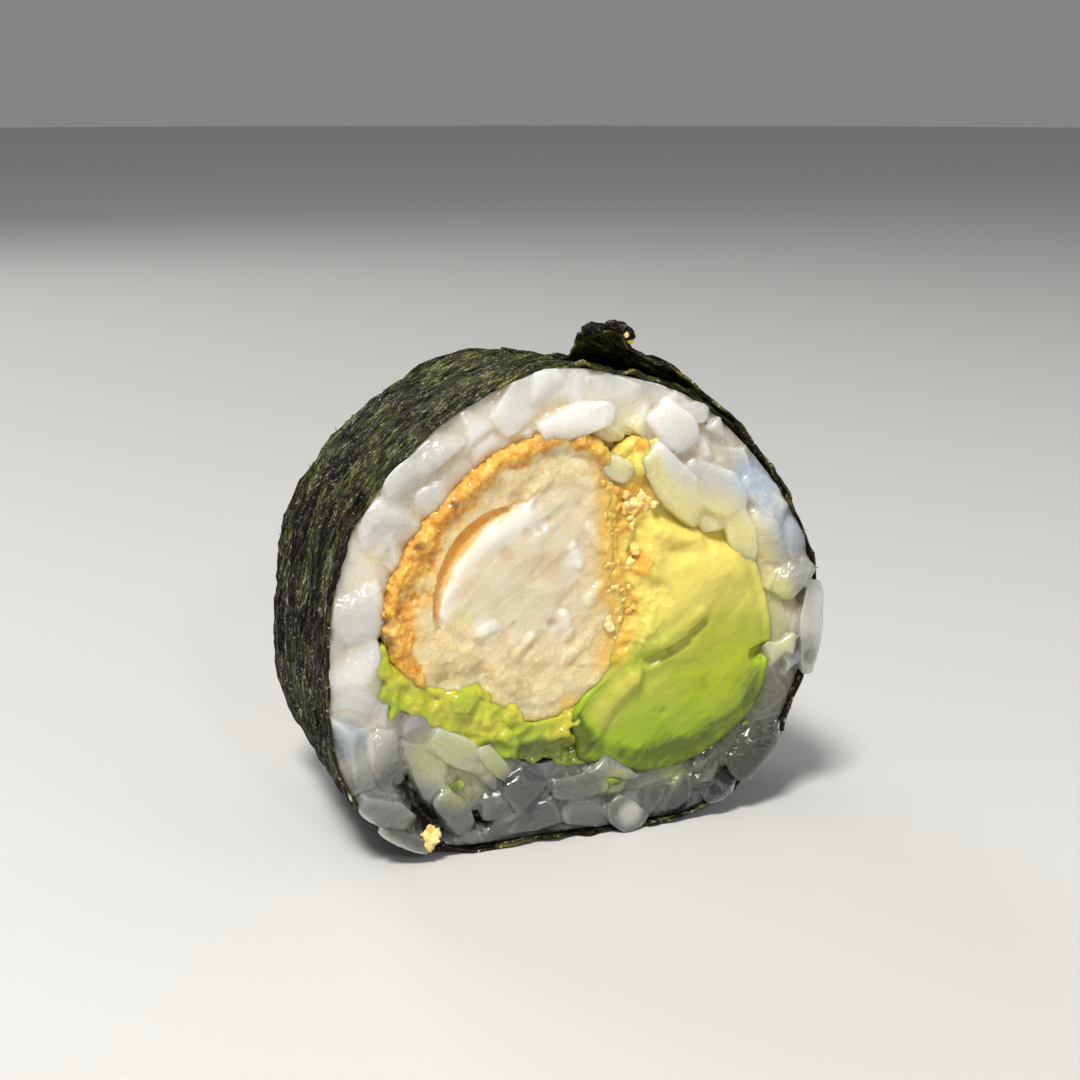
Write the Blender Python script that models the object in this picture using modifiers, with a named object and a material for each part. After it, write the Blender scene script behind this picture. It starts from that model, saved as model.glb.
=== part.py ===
"""One cut piece of a thick maki roll: a nori sheet rolled round rice, breaded chicken and avocado.

The piece stands on its rolled side, like a wheel. X runs across it, Y along the roll and Z up.
The near cut face looks towards -Y. The origin is under the middle of the piece, on the surface
that it stands on. Outlines are (x, z) points in millimetres on the near cut face.
"""

import math

import bmesh
import bpy
from mathutils import Vector, noise

MM = 0.001

# Driving sizes, in millimetres
LENGTH = 23.0  # thickness of the slice, along Y
TAPER = 0.045  # how much smaller the far cut face is, as a share
GAP = 0.3  # clearance between neighbouring solids
NORI_THICKNESS = 0.35
FOOT = NORI_THICKNESS + GAP  # how far the rice's flat underside is above the ground
ROLL_CENTRE = (0.0, 21.0)

# Outline of the rice, just inside the nori. Points under z = 0 give the flat foot.
ROLL = [
    (-3.2, 41.5), (4.6, 40.3), (11.0, 37.7), (17.0, 32.0), (21.0, 25.8), (22.5, 19.0),
    (21.4, 12.2), (18.0, 5.2), (12.6, 0.9), (5.0, -0.3), (-7.0, -0.3), (-14.6, 0.9),
    (-20.0, 4.6), (-22.4, 11.0), (-22.5, 20.0), (-20.7, 28.0), (-16.3, 34.2), (-10.2, 38.7),
]

# Outline of the breaded chicken, over the crumbs.
CUTLET = [
    (-2.6, 35.9), (1.6, 34.8), (2.4, 31.0), (2.4, 26.0), (3.5, 20.5), (2.9, 16.0), (0.0, 12.4),
    (-4.8, 10.8), (-8.6, 13.4), (-13.6, 14.2), (-17.4, 18.8), (-17.2, 24.0), (-13.6, 29.6),
    (-8.6, 33.9),
]
CUTLET_CENTRE = (-7.0, 23.0)

# Outline of the chicken inside its coat.
CHICKEN = [
    (-12.4, 19.2), (-7.0, 17.0), (-1.8, 17.3), (1.0, 19.4), (1.5, 25.0), (1.0, 30.6),
    (-1.8, 32.7), (-5.4, 30.2), (-9.0, 28.4), (-12.6, 23.6),
]
CHICKEN_CENTRE = (-5.5, 24.0)

# Outline of the large avocado wedge. Its left side is cut back by the cutlet.
WEDGE = [
    (4.0, 34.9), (6.1, 34.6), (6.2, 31.0), (8.8, 28.5), (14.4, 26.3), (17.2, 21.0), (18.0, 15.0),
    (16.4, 9.6), (12.0, 6.0), (6.0, 5.0), (1.5, 6.2), (-2.0, 8.0), (-3.5, 11.0), (1.0, 22.0),
    (1.5, 31.0),
]
WEDGE_CENTRE = (10.0, 17.0)

# The thin avocado slice under the cutlet: angle about CUTLET_CENTRE in degrees, and thickness.
SLICE = [
    (199.0, 1.3), (208.0, 2.3), (218.0, 3.0), (227.0, 2.2), (237.0, 2.4), (248.0, 3.9),
    (257.0, 5.0), (266.0, 4.3), (277.0, 3.8), (293.0, 3.4),
]

# The crevice that opened between the chicken and its coat
CREVICE_WIDTH = 1.1
CREVICE_MIDDLE, CREVICE_SPREAD = math.radians(150), math.radians(42)

# How far each cut face swells past the plane of the cut, and how rough it is
RICE_GRAIN = (6.5, 3.0)  # length and width of the grains that show as lumps
RICE_RELIEF = 1.9
COAT_RELIEF = 0.45
CHICKEN_DOME, CHICKEN_RELIEF = 0.3, 0.35
AVOCADO_DOME, AVOCADO_RELIEF = 1.1, 0.2

# The nori runs anticlockwise from its inner end, once round, and over that end to its free edge.
INNER_END, FREE_EDGE = math.radians(46), math.radians(448)
LAP_START = math.radians(388)  # where the outer layer begins to climb over the inner end
LAP_CLIMB = math.radians(16)
LIFT_START = math.radians(404)  # where the outer layer begins to stand off the roll
LIFT = 2.9  # height of the lifted corner
LIFT_PEAK_DEPTH, LIFT_DEPTH = 4.0, 13.0  # along Y from the near face
NORI_STEPS = (76, 7)  # round the roll, and along it

RING_STEPS = 96
COAT_STEPS = 56
WEDGE_STEPS = 72
CHICKEN_STEPS = 36


# ---------------------------------------------------------------- outlines


def smooth_loop(corners, per_span=6):
    """A closed smooth curve through the corners, as points."""
    points = []
    count = len(corners)
    for i in range(count):
        a, b, c, d = (Vector(corners[(i + k) % count]) for k in (-1, 0, 1, 2))
        for step in range(per_span):
            t = step / per_span
            points.append(
                b + (c - a) * (t / 2) + (2 * a - 5 * b + 4 * c - d) * (t * t / 2)
                + (3 * b - a - 3 * c + d) * (t ** 3 / 2)
            )
    return points


def hits(loop, centre, angle):
    """Distances from centre at which a ray at this angle crosses the loop."""
    origin = Vector(centre)
    ray = Vector((math.cos(angle), math.sin(angle)))
    found = []
    for a, b in zip(loop, loop[1:] + loop[:1]):
        side = b - a
        across = ray.x * side.y - ray.y * side.x
        if abs(across) < 1e-9:
            continue
        to_a = a - origin
        along_side = (to_a.x * ray.y - to_a.y * ray.x) / across
        distance = (to_a.x * side.y - to_a.y * side.x) / across
        if 0 <= along_side <= 1 and distance > 0:
            found.append(distance)
    return found


def on_ray(centre, angle, distance):
    return centre[0] + distance * math.cos(angle), centre[1] + distance * math.sin(angle)


def smoothstep(low, high, value):
    t = max(0.0, min(1.0, (value - low) / (high - low)))
    return t * t * (3 - 2 * t)


def bell(middle, spread, value):
    return math.exp(-(((value - middle) / spread) ** 2))


def slice_thickness(degrees):
    """The avocado slice's thickness at this angle."""
    if degrees <= SLICE[0][0]:
        return SLICE[0][1]
    for (low, before), (high, after) in zip(SLICE, SLICE[1:]):
        if degrees <= high:
            return before + (after - before) * smoothstep(low, high, degrees)
    return SLICE[-1][1]


ROLL_LOOP = smooth_loop(ROLL)
CUTLET_LOOP = smooth_loop(CUTLET)
CHICKEN_LOOP = smooth_loop(CHICKEN)
WEDGE_LOOP = smooth_loop(WEDGE)


def coat_reach(angle):
    """From CUTLET_CENTRE to the outside of the breadcrumb coat."""
    return max(hits(CUTLET_LOOP, CUTLET_CENTRE, angle))


def chicken_reach(angle):
    return max(hits(CHICKEN_LOOP, CHICKEN_CENTRE, angle))


def slice_loop():
    """The slice's own outline: out along its far side and back along the cutlet."""
    first, last = SLICE[0][0], SLICE[-1][0]
    angles = [first + (last - first) * i / 40 for i in range(41)]
    far = []
    near = []
    for degrees in angles:
        angle = math.radians(degrees)
        inner = coat_reach(angle) + GAP
        far.append(Vector(on_ray(CUTLET_CENTRE, angle, inner + slice_thickness(degrees))))
        near.append(Vector(on_ray(CUTLET_CENTRE, angle, inner)))
    return far + near[::-1]


SLICE_LOOP = slice_loop()


def wedge_reach(angle):
    """From WEDGE_CENTRE to the outside of the wedge, cut back to clear the cutlet and slice."""
    own = max(hits(WEDGE_LOOP, WEDGE_CENTRE, angle))
    blocked = hits(CUTLET_LOOP, WEDGE_CENTRE, angle) + hits(SLICE_LOOP, WEDGE_CENTRE, angle)
    return min([own] + [distance - 1.6 * GAP for distance in blocked])


def wedge_loop():
    turns = [2 * math.pi * i / 120 for i in range(120)]
    return [Vector(on_ray(WEDGE_CENTRE, angle, wedge_reach(angle))) for angle in turns]


FILLING_LOOPS = [CUTLET_LOOP, wedge_loop(), SLICE_LOOP]


def filling_reach(angle):
    """From ROLL_CENTRE to the outside of everything that the rice surrounds.

    It is the farthest within one step of the ring either way, so that the ring's straight
    edges clear the fillings' corners.
    """
    step = 2 * math.pi / RING_STEPS
    nearby = [angle + step * share for share in (-1.0, -0.5, 0.0, 0.5, 1.0)]
    return max(
        max(hits(loop, ROLL_CENTRE, turn), default=0.0)
        for loop in FILLING_LOOPS
        for turn in nearby
    )


def roll_point(angle, outwards=0.0):
    """A point on the roll's outline, moved outwards from its middle. The foot is flat."""
    x, z = on_ray(ROLL_CENTRE, angle, max(hits(ROLL_LOOP, ROLL_CENTRE, angle)))
    foot = max(z, 0.0)
    away = (Vector((x, foot)) - Vector(ROLL_CENTRE)).normalized()
    x, z = x + away.x * outwards, foot + away.y * outwards
    return x, max(z, -outwards)


# ---------------------------------------------------------------- cut faces


def rice_relief(x, z, side):
    """Lumps as large as grains, laid round the roll."""
    angle = math.atan2(z - ROLL_CENTRE[1], x - ROLL_CENTRE[0])
    radius = math.hypot(x - ROLL_CENTRE[0], z - ROLL_CENTRE[1])
    turn = 19.0 / RICE_GRAIN[0]
    spot = Vector((turn * math.cos(angle), turn * math.sin(angle), radius / RICE_GRAIN[1] + 9 * side))
    nearest = noise.voronoi(spot)[0][0]
    return RICE_RELIEF * (0.5 - nearest)


def coat_relief(x, z, side):
    return COAT_RELIEF * noise.fractal(Vector((x / 1.7, z / 1.7, 5.0 * side)), 1.0, 2.0, 3)


def chicken_relief(x, z, side):
    """A low dome with fibres that lean to the upper right."""
    grain = Vector(((x + z) / 6.0, (z - x) / 1.6, 3.0 * side))
    off = math.hypot(x - CHICKEN_CENTRE[0], z - CHICKEN_CENTRE[1]) / 8.0
    return CHICKEN_DOME * (1 - off * off) + CHICKEN_RELIEF * noise.noise(grain)


def wedge_relief(x, z, side):
    """A dome that falls away to the wedge's edge."""
    off = math.hypot(x - WEDGE_CENTRE[0], z - WEDGE_CENTRE[1]) / 11.5
    swell = AVOCADO_DOME * (1 - min(1.0, off) ** 2)
    return swell + AVOCADO_RELIEF * noise.noise(Vector((x / 3.0, z / 3.0, 7.0 * side)))


def slice_relief(x, z, side):
    return AVOCADO_RELIEF * noise.noise(Vector((x / 2.0, z / 2.0, 4.0 * side)))


def placed(x, z, depth):
    """A point of the near face's outline carried to this depth along Y, in metres."""
    share = 1 - TAPER * (depth / LENGTH + 0.5)
    return Vector((x * share, depth, (z + FOOT) * share)) * MM


# ---------------------------------------------------------------- shapes


def new_piece(name, mesh, finish):
    """Closes the mesh with its faces pointing out, and gives it a name and a finish."""
    work = bmesh.new()
    work.from_mesh(mesh)
    bmesh.ops.recalc_face_normals(work, faces=work.faces)
    work.to_mesh(mesh)
    work.free()
    mesh.materials.clear()
    mesh.materials.append(finish)
    piece = bpy.data.objects.new(name, mesh)
    bpy.data.collections["maki_roll_piece"].objects.link(piece)
    mesh.shade_smooth()
    mesh.set_sharp_from_angle(angle=math.radians(50))
    return piece


def section_place(step, faces, walls):
    """Where a step of a ring's section lies: (share from inner to outer edge, share of depth, side).

    The section goes out over the near face, along the outer wall, in over the far face and
    back along the inner wall. Side is -1 on the near face, 1 on the far face and 0 on a wall.
    """
    if step <= faces:
        return step / faces, 0.0, -1
    step -= faces
    if step < walls:
        return 1.0, step / walls, 0
    step -= walls
    if step <= faces:
        return 1 - step / faces, 1.0, 1
    step -= faces
    return 0.0, 1 - step / walls, 0


def ring_mesh(steps, faces, walls, inner, outer, relief):
    """A torus moved onto two outlines: its section becomes two cut faces and two walls."""
    section = 2 * (faces + walls)
    bpy.ops.mesh.primitive_torus_add(
        major_segments=steps, minor_segments=section, major_radius=2.0, minor_radius=1.0
    )
    torus = bpy.context.object
    mesh = torus.data
    for vertex in mesh.vertices:
        turn = math.atan2(vertex.co.y, vertex.co.x)
        over = math.atan2(vertex.co.z, math.hypot(vertex.co.x, vertex.co.y) - 2.0)
        step = round(over / (2 * math.pi) * section) % section
        share, deep, side = section_place(step, faces, walls)
        near, far = inner(turn), outer(turn)
        x = near[0] + (far[0] - near[0]) * share
        z = near[1] + (far[1] - near[1]) * share
        depth = LENGTH * (deep - 0.5)
        if side and 0 < share < 1:
            depth += side * relief(x, z, side)
        vertex.co = placed(x, z, depth)
    bpy.data.objects.remove(torus)
    return mesh


def block_mesh(steps, rings, walls, centre, reach, relief):
    """A sphere moved onto one outline: its two poles are the middles of the cut faces."""
    total = 2 * rings + walls
    work = bmesh.new()
    bmesh.ops.create_uvsphere(work, u_segments=steps, v_segments=total, radius=1.0)
    for vertex in work.verts:
        turn = math.atan2(vertex.co.y, vertex.co.x)
        ring = round(math.acos(max(-1.0, min(1.0, vertex.co.z))) / math.pi * total)
        side = -1 if ring <= rings else 1
        from_middle = ring if side < 0 else total - ring
        share = min(1.0, from_middle / rings)
        deep = 0.0 if ring <= rings else min(1.0, (ring - rings) / walls)
        x, z = on_ray(centre, turn, reach(turn) * share)
        depth = LENGTH * (deep - 0.5)
        if share < 1:
            depth += side * relief(x, z, side)
        vertex.co = placed(x, z, depth)
    mesh = bpy.data.meshes.new("block")
    work.to_mesh(mesh)
    work.free()
    return mesh


def cut_across(work, axis, count):
    """Subdivides every edge that runs along this axis."""
    along = [e for e in work.edges if abs((e.verts[1].co - e.verts[0].co)[axis]) > 1e-6]
    bmesh.ops.subdivide_edges(work, edges=along, cuts=count - 1, use_grid_fill=True)


def slice_mesh():
    """A cube bent round the underside of the cutlet."""
    work = bmesh.new()
    bmesh.ops.create_cube(work, size=1.0)
    for axis, count in ((0, 26), (1, 2), (2, 3)):
        cut_across(work, axis, count)
    first, last = SLICE[0][0], SLICE[-1][0]
    for vertex in work.verts:
        along, deep, out = (value + 0.5 for value in vertex.co)
        degrees = first + (last - first) * along
        angle = math.radians(degrees)
        near = coat_reach(angle) + GAP
        x, z = on_ray(CUTLET_CENTRE, angle, near + slice_thickness(degrees) * out)
        depth = LENGTH * (deep - 0.5)
        if deep in (0.0, 1.0) and 0 < along < 1:
            side = -1 if deep == 0 else 1
            depth += side * slice_relief(x, z, side)
        vertex.co = placed(x, z, depth)
    mesh = bpy.data.meshes.new("slice")
    work.to_mesh(mesh)
    work.free()
    return mesh


# ---------------------------------------------------------------- the nori sheet


def corner_lift(turn, depth):
    """How far the free edge's near corner stands off the roll."""
    along = smoothstep(LIFT_START, FREE_EDGE - math.radians(12), turn)
    from_face = depth + LENGTH / 2
    if from_face < LIFT_PEAK_DEPTH:
        over = 0.78 + 0.22 * smoothstep(0.0, LIFT_PEAK_DEPTH, from_face)
    else:
        over = 1 - smoothstep(LIFT_PEAK_DEPTH, LIFT_DEPTH, from_face)
    return LIFT * along * over


def nori_point(turn, depth):
    """A point of the sheet's inner surface."""
    layer = (NORI_THICKNESS + GAP) * smoothstep(LAP_START, LAP_START + LAP_CLIMB, turn)
    x, z = roll_point(turn, GAP + layer + corner_lift(turn, depth))
    return placed(x, z, depth)


def nori_mesh():
    """A flat grid rolled once round the rice and over its own inner end."""
    work = bmesh.new()
    round_steps, long_steps = NORI_STEPS
    bmesh.ops.create_grid(work, x_segments=round_steps, y_segments=long_steps, size=0.5)
    for vertex in work.verts:
        turn = INNER_END + (FREE_EDGE - INNER_END) * (vertex.co.x + 0.5)
        vertex.co = nori_point(turn, LENGTH * vertex.co.y)
    mesh = bpy.data.meshes.new("nori")
    work.to_mesh(mesh)
    work.free()
    return mesh


def add_nori(finish):
    sheet = new_piece("nori_sheet", nori_mesh(), finish)
    outward = sum(
        (face.center - Vector((0, 0, ROLL_CENTRE[1] * MM))).dot(face.normal)
        for face in sheet.data.polygons
    )
    wall = sheet.modifiers.new("wall", "SOLIDIFY")
    wall.thickness = NORI_THICKNESS * MM
    wall.offset = 1.0 if outward > 0 else -1.0


# ---------------------------------------------------------------- the piece


def finish_of(name, colour, roughness):
    finish = bpy.data.materials.new(name)
    finish.use_nodes = True
    shader = finish.node_tree.nodes["Principled BSDF"]
    shader.inputs["Base Color"].default_value = (*colour, 1.0)
    shader.inputs["Roughness"].default_value = roughness
    shader.inputs["Metallic"].default_value = 0.0
    return finish


def crevice(turn):
    away = (turn - CREVICE_MIDDLE + math.pi) % (2 * math.pi) - math.pi
    return CREVICE_WIDTH * bell(0.0, CREVICE_SPREAD, away)


def add_rice(finish):
    def inner(turn):
        return on_ray(ROLL_CENTRE, turn, filling_reach(turn) + GAP)

    mesh = ring_mesh(RING_STEPS, 6, 3, inner, roll_point, rice_relief)
    new_piece("rice", mesh, finish)


def add_coat(finish):
    def inner(turn):
        return on_ray(CHICKEN_CENTRE, turn, chicken_reach(turn) + GAP + crevice(turn))

    def outer(turn):
        return on_ray(CHICKEN_CENTRE, turn, max(hits(CUTLET_LOOP, CHICKEN_CENTRE, turn)))

    mesh = ring_mesh(COAT_STEPS, 3, 2, inner, outer, coat_relief)
    new_piece("breadcrumb_coat", mesh, finish)


def add_chicken(finish):
    mesh = block_mesh(CHICKEN_STEPS, 4, 1, CHICKEN_CENTRE, chicken_reach, chicken_relief)
    new_piece("chicken", mesh, finish)


def add_avocado(finish):
    wedge = block_mesh(WEDGE_STEPS, 5, 2, WEDGE_CENTRE, wedge_reach, wedge_relief)
    new_piece("avocado_wedge", wedge, finish)
    new_piece("avocado_slice", slice_mesh(), finish)


def main():
    for leftover in list(bpy.data.objects):
        bpy.data.objects.remove(leftover)
    parts = bpy.data.collections.new("maki_roll_piece")
    bpy.context.scene.collection.children.link(parts)
    add_nori(finish_of("nori", (0.018, 0.024, 0.010), 0.45))
    add_rice(finish_of("rice", (0.78, 0.77, 0.72), 0.35))
    add_coat(finish_of("breadcrumb", (0.72, 0.42, 0.12), 0.75))
    add_chicken(finish_of("chicken", (0.82, 0.66, 0.50), 0.5))
    add_avocado(finish_of("avocado", (0.62, 0.66, 0.10), 0.4))


main()
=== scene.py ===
"""The looks of one thick cut piece of maki roll: nori, rice, breaded chicken and avocado.

The near cut face looks towards -Y and the far one towards +Y. Lengths are in metres; a number
times MM is in millimetres. Places on a cut face are (x, z) in millimetres, as in the model.
"""

import math
import random
from contextlib import contextmanager

import bpy
import numpy as np
from mathutils import Matrix, Vector, noise
from mathutils.bvhtree import BVHTree


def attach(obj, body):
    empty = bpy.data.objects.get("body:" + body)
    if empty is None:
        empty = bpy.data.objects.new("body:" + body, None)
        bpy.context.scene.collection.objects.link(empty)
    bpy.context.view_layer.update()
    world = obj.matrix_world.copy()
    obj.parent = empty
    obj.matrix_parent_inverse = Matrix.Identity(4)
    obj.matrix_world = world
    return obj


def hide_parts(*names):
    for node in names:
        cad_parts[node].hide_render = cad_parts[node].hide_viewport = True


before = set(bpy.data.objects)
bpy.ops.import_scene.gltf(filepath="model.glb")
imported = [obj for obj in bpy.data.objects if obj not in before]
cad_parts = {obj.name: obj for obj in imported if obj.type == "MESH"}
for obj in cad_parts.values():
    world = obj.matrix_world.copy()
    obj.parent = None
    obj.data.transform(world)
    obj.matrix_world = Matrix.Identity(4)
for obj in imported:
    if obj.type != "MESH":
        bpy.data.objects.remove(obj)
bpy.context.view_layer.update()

MM = 0.001
NEAR, FAR = -1, 1

LENGTH = 23.0  # of the roll between its cut faces, in millimetres
TAPER = 0.045  # how much smaller the far face is
ROLL_MIDDLE = (0.0, 21.65)  # (x, z) on the near face


# ---------------------------------------------------------------- working with pieces


def take(*pieces):
    """Selects these pieces and nothing else. The first one becomes the active one."""
    bpy.ops.object.select_all(action="DESELECT")
    for piece in pieces:
        piece.select_set(True)
    bpy.context.view_layer.objects.active = pieces[0]


def make(operator, name, **settings):
    """A new object from one of Blender's operators that add one."""
    bpy.ops.object.select_all(action="DESELECT")
    operator(**settings)
    made = bpy.context.object
    made.name = name
    return made


def discard(*pieces):
    for piece in pieces:
        bpy.data.objects.remove(piece)


@contextmanager
def editing(piece, picked=None):
    """Opens a piece for editing with all of its points selected, or only the picked ones."""
    take(piece)
    bpy.ops.object.mode_set(mode="EDIT")
    bpy.ops.mesh.select_all(action="SELECT" if picked is None else "DESELECT")
    if picked is not None:
        bpy.ops.object.mode_set(mode="OBJECT")
        piece.data.vertices.foreach_set("select", np.asarray(picked, bool))
        bpy.ops.object.mode_set(mode="EDIT")
    yield
    bpy.ops.object.mode_set(mode="OBJECT")


def points_of(piece):
    """The piece's points in millimetres, one row each."""
    flat = np.zeros(len(piece.data.vertices) * 3, np.float32)
    piece.data.vertices.foreach_get("co", flat)
    return flat.reshape(-1, 3).astype(float) / MM


def set_points(piece, points):
    piece.data.vertices.foreach_set("co", (points * MM).astype(np.float32).ravel())
    piece.data.update()


def apply_modifier(piece, kind, **settings):
    """Adds one modifier, sets it and applies it."""
    modifier = piece.modifiers.new(kind.lower(), kind)
    for name, value in settings.items():
        setattr(modifier, name, value)
    take(piece)
    bpy.ops.object.modifier_apply(modifier=modifier.name)


def swell(piece, by, zone=""):
    """Grows a piece by this many millimetres, or shrinks it where by is negative."""
    apply_modifier(
        piece, "DISPLACE", strength=by * MM, mid_level=0.0, direction="NORMAL", vertex_group=zone
    )


def weigh(piece, name, shares):
    """Stores how much each point belongs to a zone, for a modifier to use."""
    zone = piece.vertex_groups.new(name=name)
    for index in np.nonzero(shares > 0.01)[0]:
        zone.add([int(index)], float(min(shares[index], 1.0)), "REPLACE")


def node_mesh(node):
    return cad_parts[node].data


def copy_of_node(node, name):
    """A merged copy of a node's mesh, as a piece of its own."""
    piece = bpy.data.objects.new(name, node_mesh(node).copy())
    bpy.context.scene.collection.objects.link(piece)
    piece.data.materials.clear()
    with editing(piece):
        bpy.ops.mesh.remove_doubles(threshold=0.001 * MM)
    return piece


def join(pieces, name):
    """Joins pieces into one that sits at the origin."""
    take(*pieces)
    if len(pieces) > 1:
        bpy.ops.object.join()
    joined = bpy.context.object
    joined.name = name
    bpy.ops.object.transform_apply(location=True, rotation=True, scale=True)
    return joined


def remesh(piece, voxel):
    """Rebuilds the piece in one even net of this size, which also fuses what overlaps."""
    take(piece)
    piece.data.remesh_voxel_size = voxel * MM
    bpy.ops.object.voxel_remesh()


def smoothstep(low, high, value):
    """Rises from 0 where the value is low to 1 where it is high, gently at both ends."""
    share = np.clip((value - low) / (high - low), 0.0, 1.0)
    return share * share * (3 - 2 * share)


def ripples(first, second, layer, size):
    """Soft noise both ways from 0, at pairs of numbers, with waves of about this size."""
    return np.array([
        noise.fractal(Vector((a, b, layer)) / size, 0.8, 2.0, 2) for a, b in zip(first, second)
    ])


# ---------------------------------------------------------------- reading the model


def face_share(y):
    """The outlines' size at this y, in millimetres, as a share of the near face's."""
    return 1 - TAPER * (y / LENGTH + 0.5)


def walls_of(node):
    mesh = node_mesh(node)
    corners = [vertex.co for vertex in mesh.vertices]
    return BVHTree.FromPolygons(corners, [face.vertices for face in mesh.polygons])


def wall_distances(walls, middle, turn):
    """Distances, in millimetres, from a middle line to each wall met half way along the roll."""
    share = face_share(0.0)
    start = Vector((middle[0] * share, 0.0, middle[1] * share)) * MM
    way = Vector((math.cos(turn), 0.0, math.sin(turn)))
    found = []
    gone = 0.0
    while True:
        place, _, _, distance = walls.ray_cast(start + way * gone, way)
        if place is None:
            return found
        gone += distance
        found.append(gone / MM)
        gone += 0.02 * MM


class Outline:
    """How far a node's inner and outer walls are from a middle line, at each turn about it."""

    def __init__(self, node, middle, steps=180):
        walls = walls_of(node)
        share = face_share(0.0)
        turns = [2 * math.pi * step / steps for step in range(steps)]
        met = [wall_distances(walls, middle, turn) for turn in turns]
        self.middle = middle
        self.walls = {
            "inner": np.array([hit[0] for hit in met]) / share,
            "outer": np.array([hit[-1] for hit in met]) / share,
        }

    def at(self, turn, wall="outer"):
        """The distance to a wall at this turn, or at each of these turns, in radians."""
        edge = self.walls[wall]
        place = np.asarray(turn) % (2 * math.pi) / (2 * math.pi) * len(edge)
        low = np.floor(place).astype(int) % len(edge)
        part = place - np.floor(place)
        return edge[low] * (1 - part) + edge[(low + 1) % len(edge)] * part

    def inside(self, x, z):
        """How far inside the outer wall the places are, in millimetres."""
        away = np.hypot(x - self.middle[0], z - self.middle[1])
        return self.at(np.arctan2(z - self.middle[1], x - self.middle[0])) - away

    def place(self, turn, away):
        """The (x, z) at this turn and distance from the middle line."""
        return self.middle[0] + away * math.cos(turn), self.middle[1] + away * math.sin(turn)


def on_face(piece):
    """The x and z of each point as if on the near face, and its depth behind its own cut face."""
    places = points_of(piece)
    share = face_share(places[:, 1])
    return places[:, 0] / share, places[:, 2] / share, LENGTH / 2 - np.abs(places[:, 1])


def off_path(x, z, path):
    """How far places on the face are from a line through these (x, z) points."""
    flat = np.column_stack([x, z])
    nearest = np.hypot(*(flat - path[0]).T)
    for start, end in zip(path, path[1:]):
        start, way = np.array(start), np.subtract(end, start)
        share = np.clip((flat - start) @ way / (way @ way), 0.0, 1.0)
        nearest = np.minimum(nearest, np.hypot(*(flat - start - share[:, None] * way).T))
    return nearest


def spots(x, z, places):
    """A soft patch from 0 to 1 round each ((x, z), radius)."""
    shade = np.zeros(len(x))
    for (spot_x, spot_z), size in places:
        away = np.hypot(x - spot_x, z - spot_z) / size
        shade = np.maximum(shade, 1 - smoothstep(0.35, 1.0, away))
    return shade


# ---------------------------------------------------------------- camera, light and floor


def add_camera():
    camera = make(
        bpy.ops.object.camera_add, "camera", location=(-0.05883, -0.15417, 0.06576),
        rotation=(math.radians(76.0), 0.0, math.radians(-21.0)),
    )
    camera.data.sensor_width = 36.0
    camera.data.lens = 61.87
    camera.data.clip_start = 0.005
    camera.data.clip_end = 20.0
    bpy.context.scene.camera = camera


def add_lamp(name, place, size, watts, colour=(1.0, 1.0, 1.0)):
    """A square soft box that looks at the middle of the piece."""
    lamp = make(bpy.ops.object.light_add, name, type="AREA", location=place)
    lamp.data.size = size
    lamp.data.energy = watts
    lamp.data.color = colour
    look = Vector((0.0, 0.0, 0.022)) - Vector(place)
    lamp.rotation_euler = look.to_track_quat("-Z", "Y").to_euler()


def add_light():
    add_lamp("key_light", (-0.20, -0.27, 0.53), 0.13, 4.4, (1.0, 0.975, 0.93))
    add_lamp("fill_light", (0.45, -0.45, 0.30), 0.4, 0.45, (0.93, 0.96, 1.0))
    add_lamp("spark_light", (0.0, -0.53, 0.31), 0.045, 0.45)
    add_lamp("rim_light", (-0.12, 0.50, 0.36), 0.25, 0.9)
    world = bpy.data.worlds.new("studio")
    world.use_nodes = True
    backdrop = world.node_tree.nodes["Background"]
    backdrop.inputs["Color"].default_value = (0.86, 0.87, 0.88, 1.0)
    backdrop.inputs["Strength"].default_value = 0.27
    bpy.context.scene.world = world
    bpy.context.scene.view_settings.view_transform = "Standard"


def add_floor():
    add_circle = bpy.ops.mesh.primitive_circle_add
    floor = make(add_circle, "floor", vertices=96, radius=2.5, fill_type="NGON")
    pale = bpy.data.materials.new("pale_floor")
    pale.use_nodes = True
    shader = pale.node_tree.nodes["Principled BSDF"]
    shader.inputs["Base Color"].default_value = (0.60, 0.595, 0.58, 1.0)
    shader.inputs["Roughness"].default_value = 0.6
    floor.data.materials.append(pale)


add_camera()
add_light()
add_floor()


# ---------------------------------------------------------------- finishes


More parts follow.
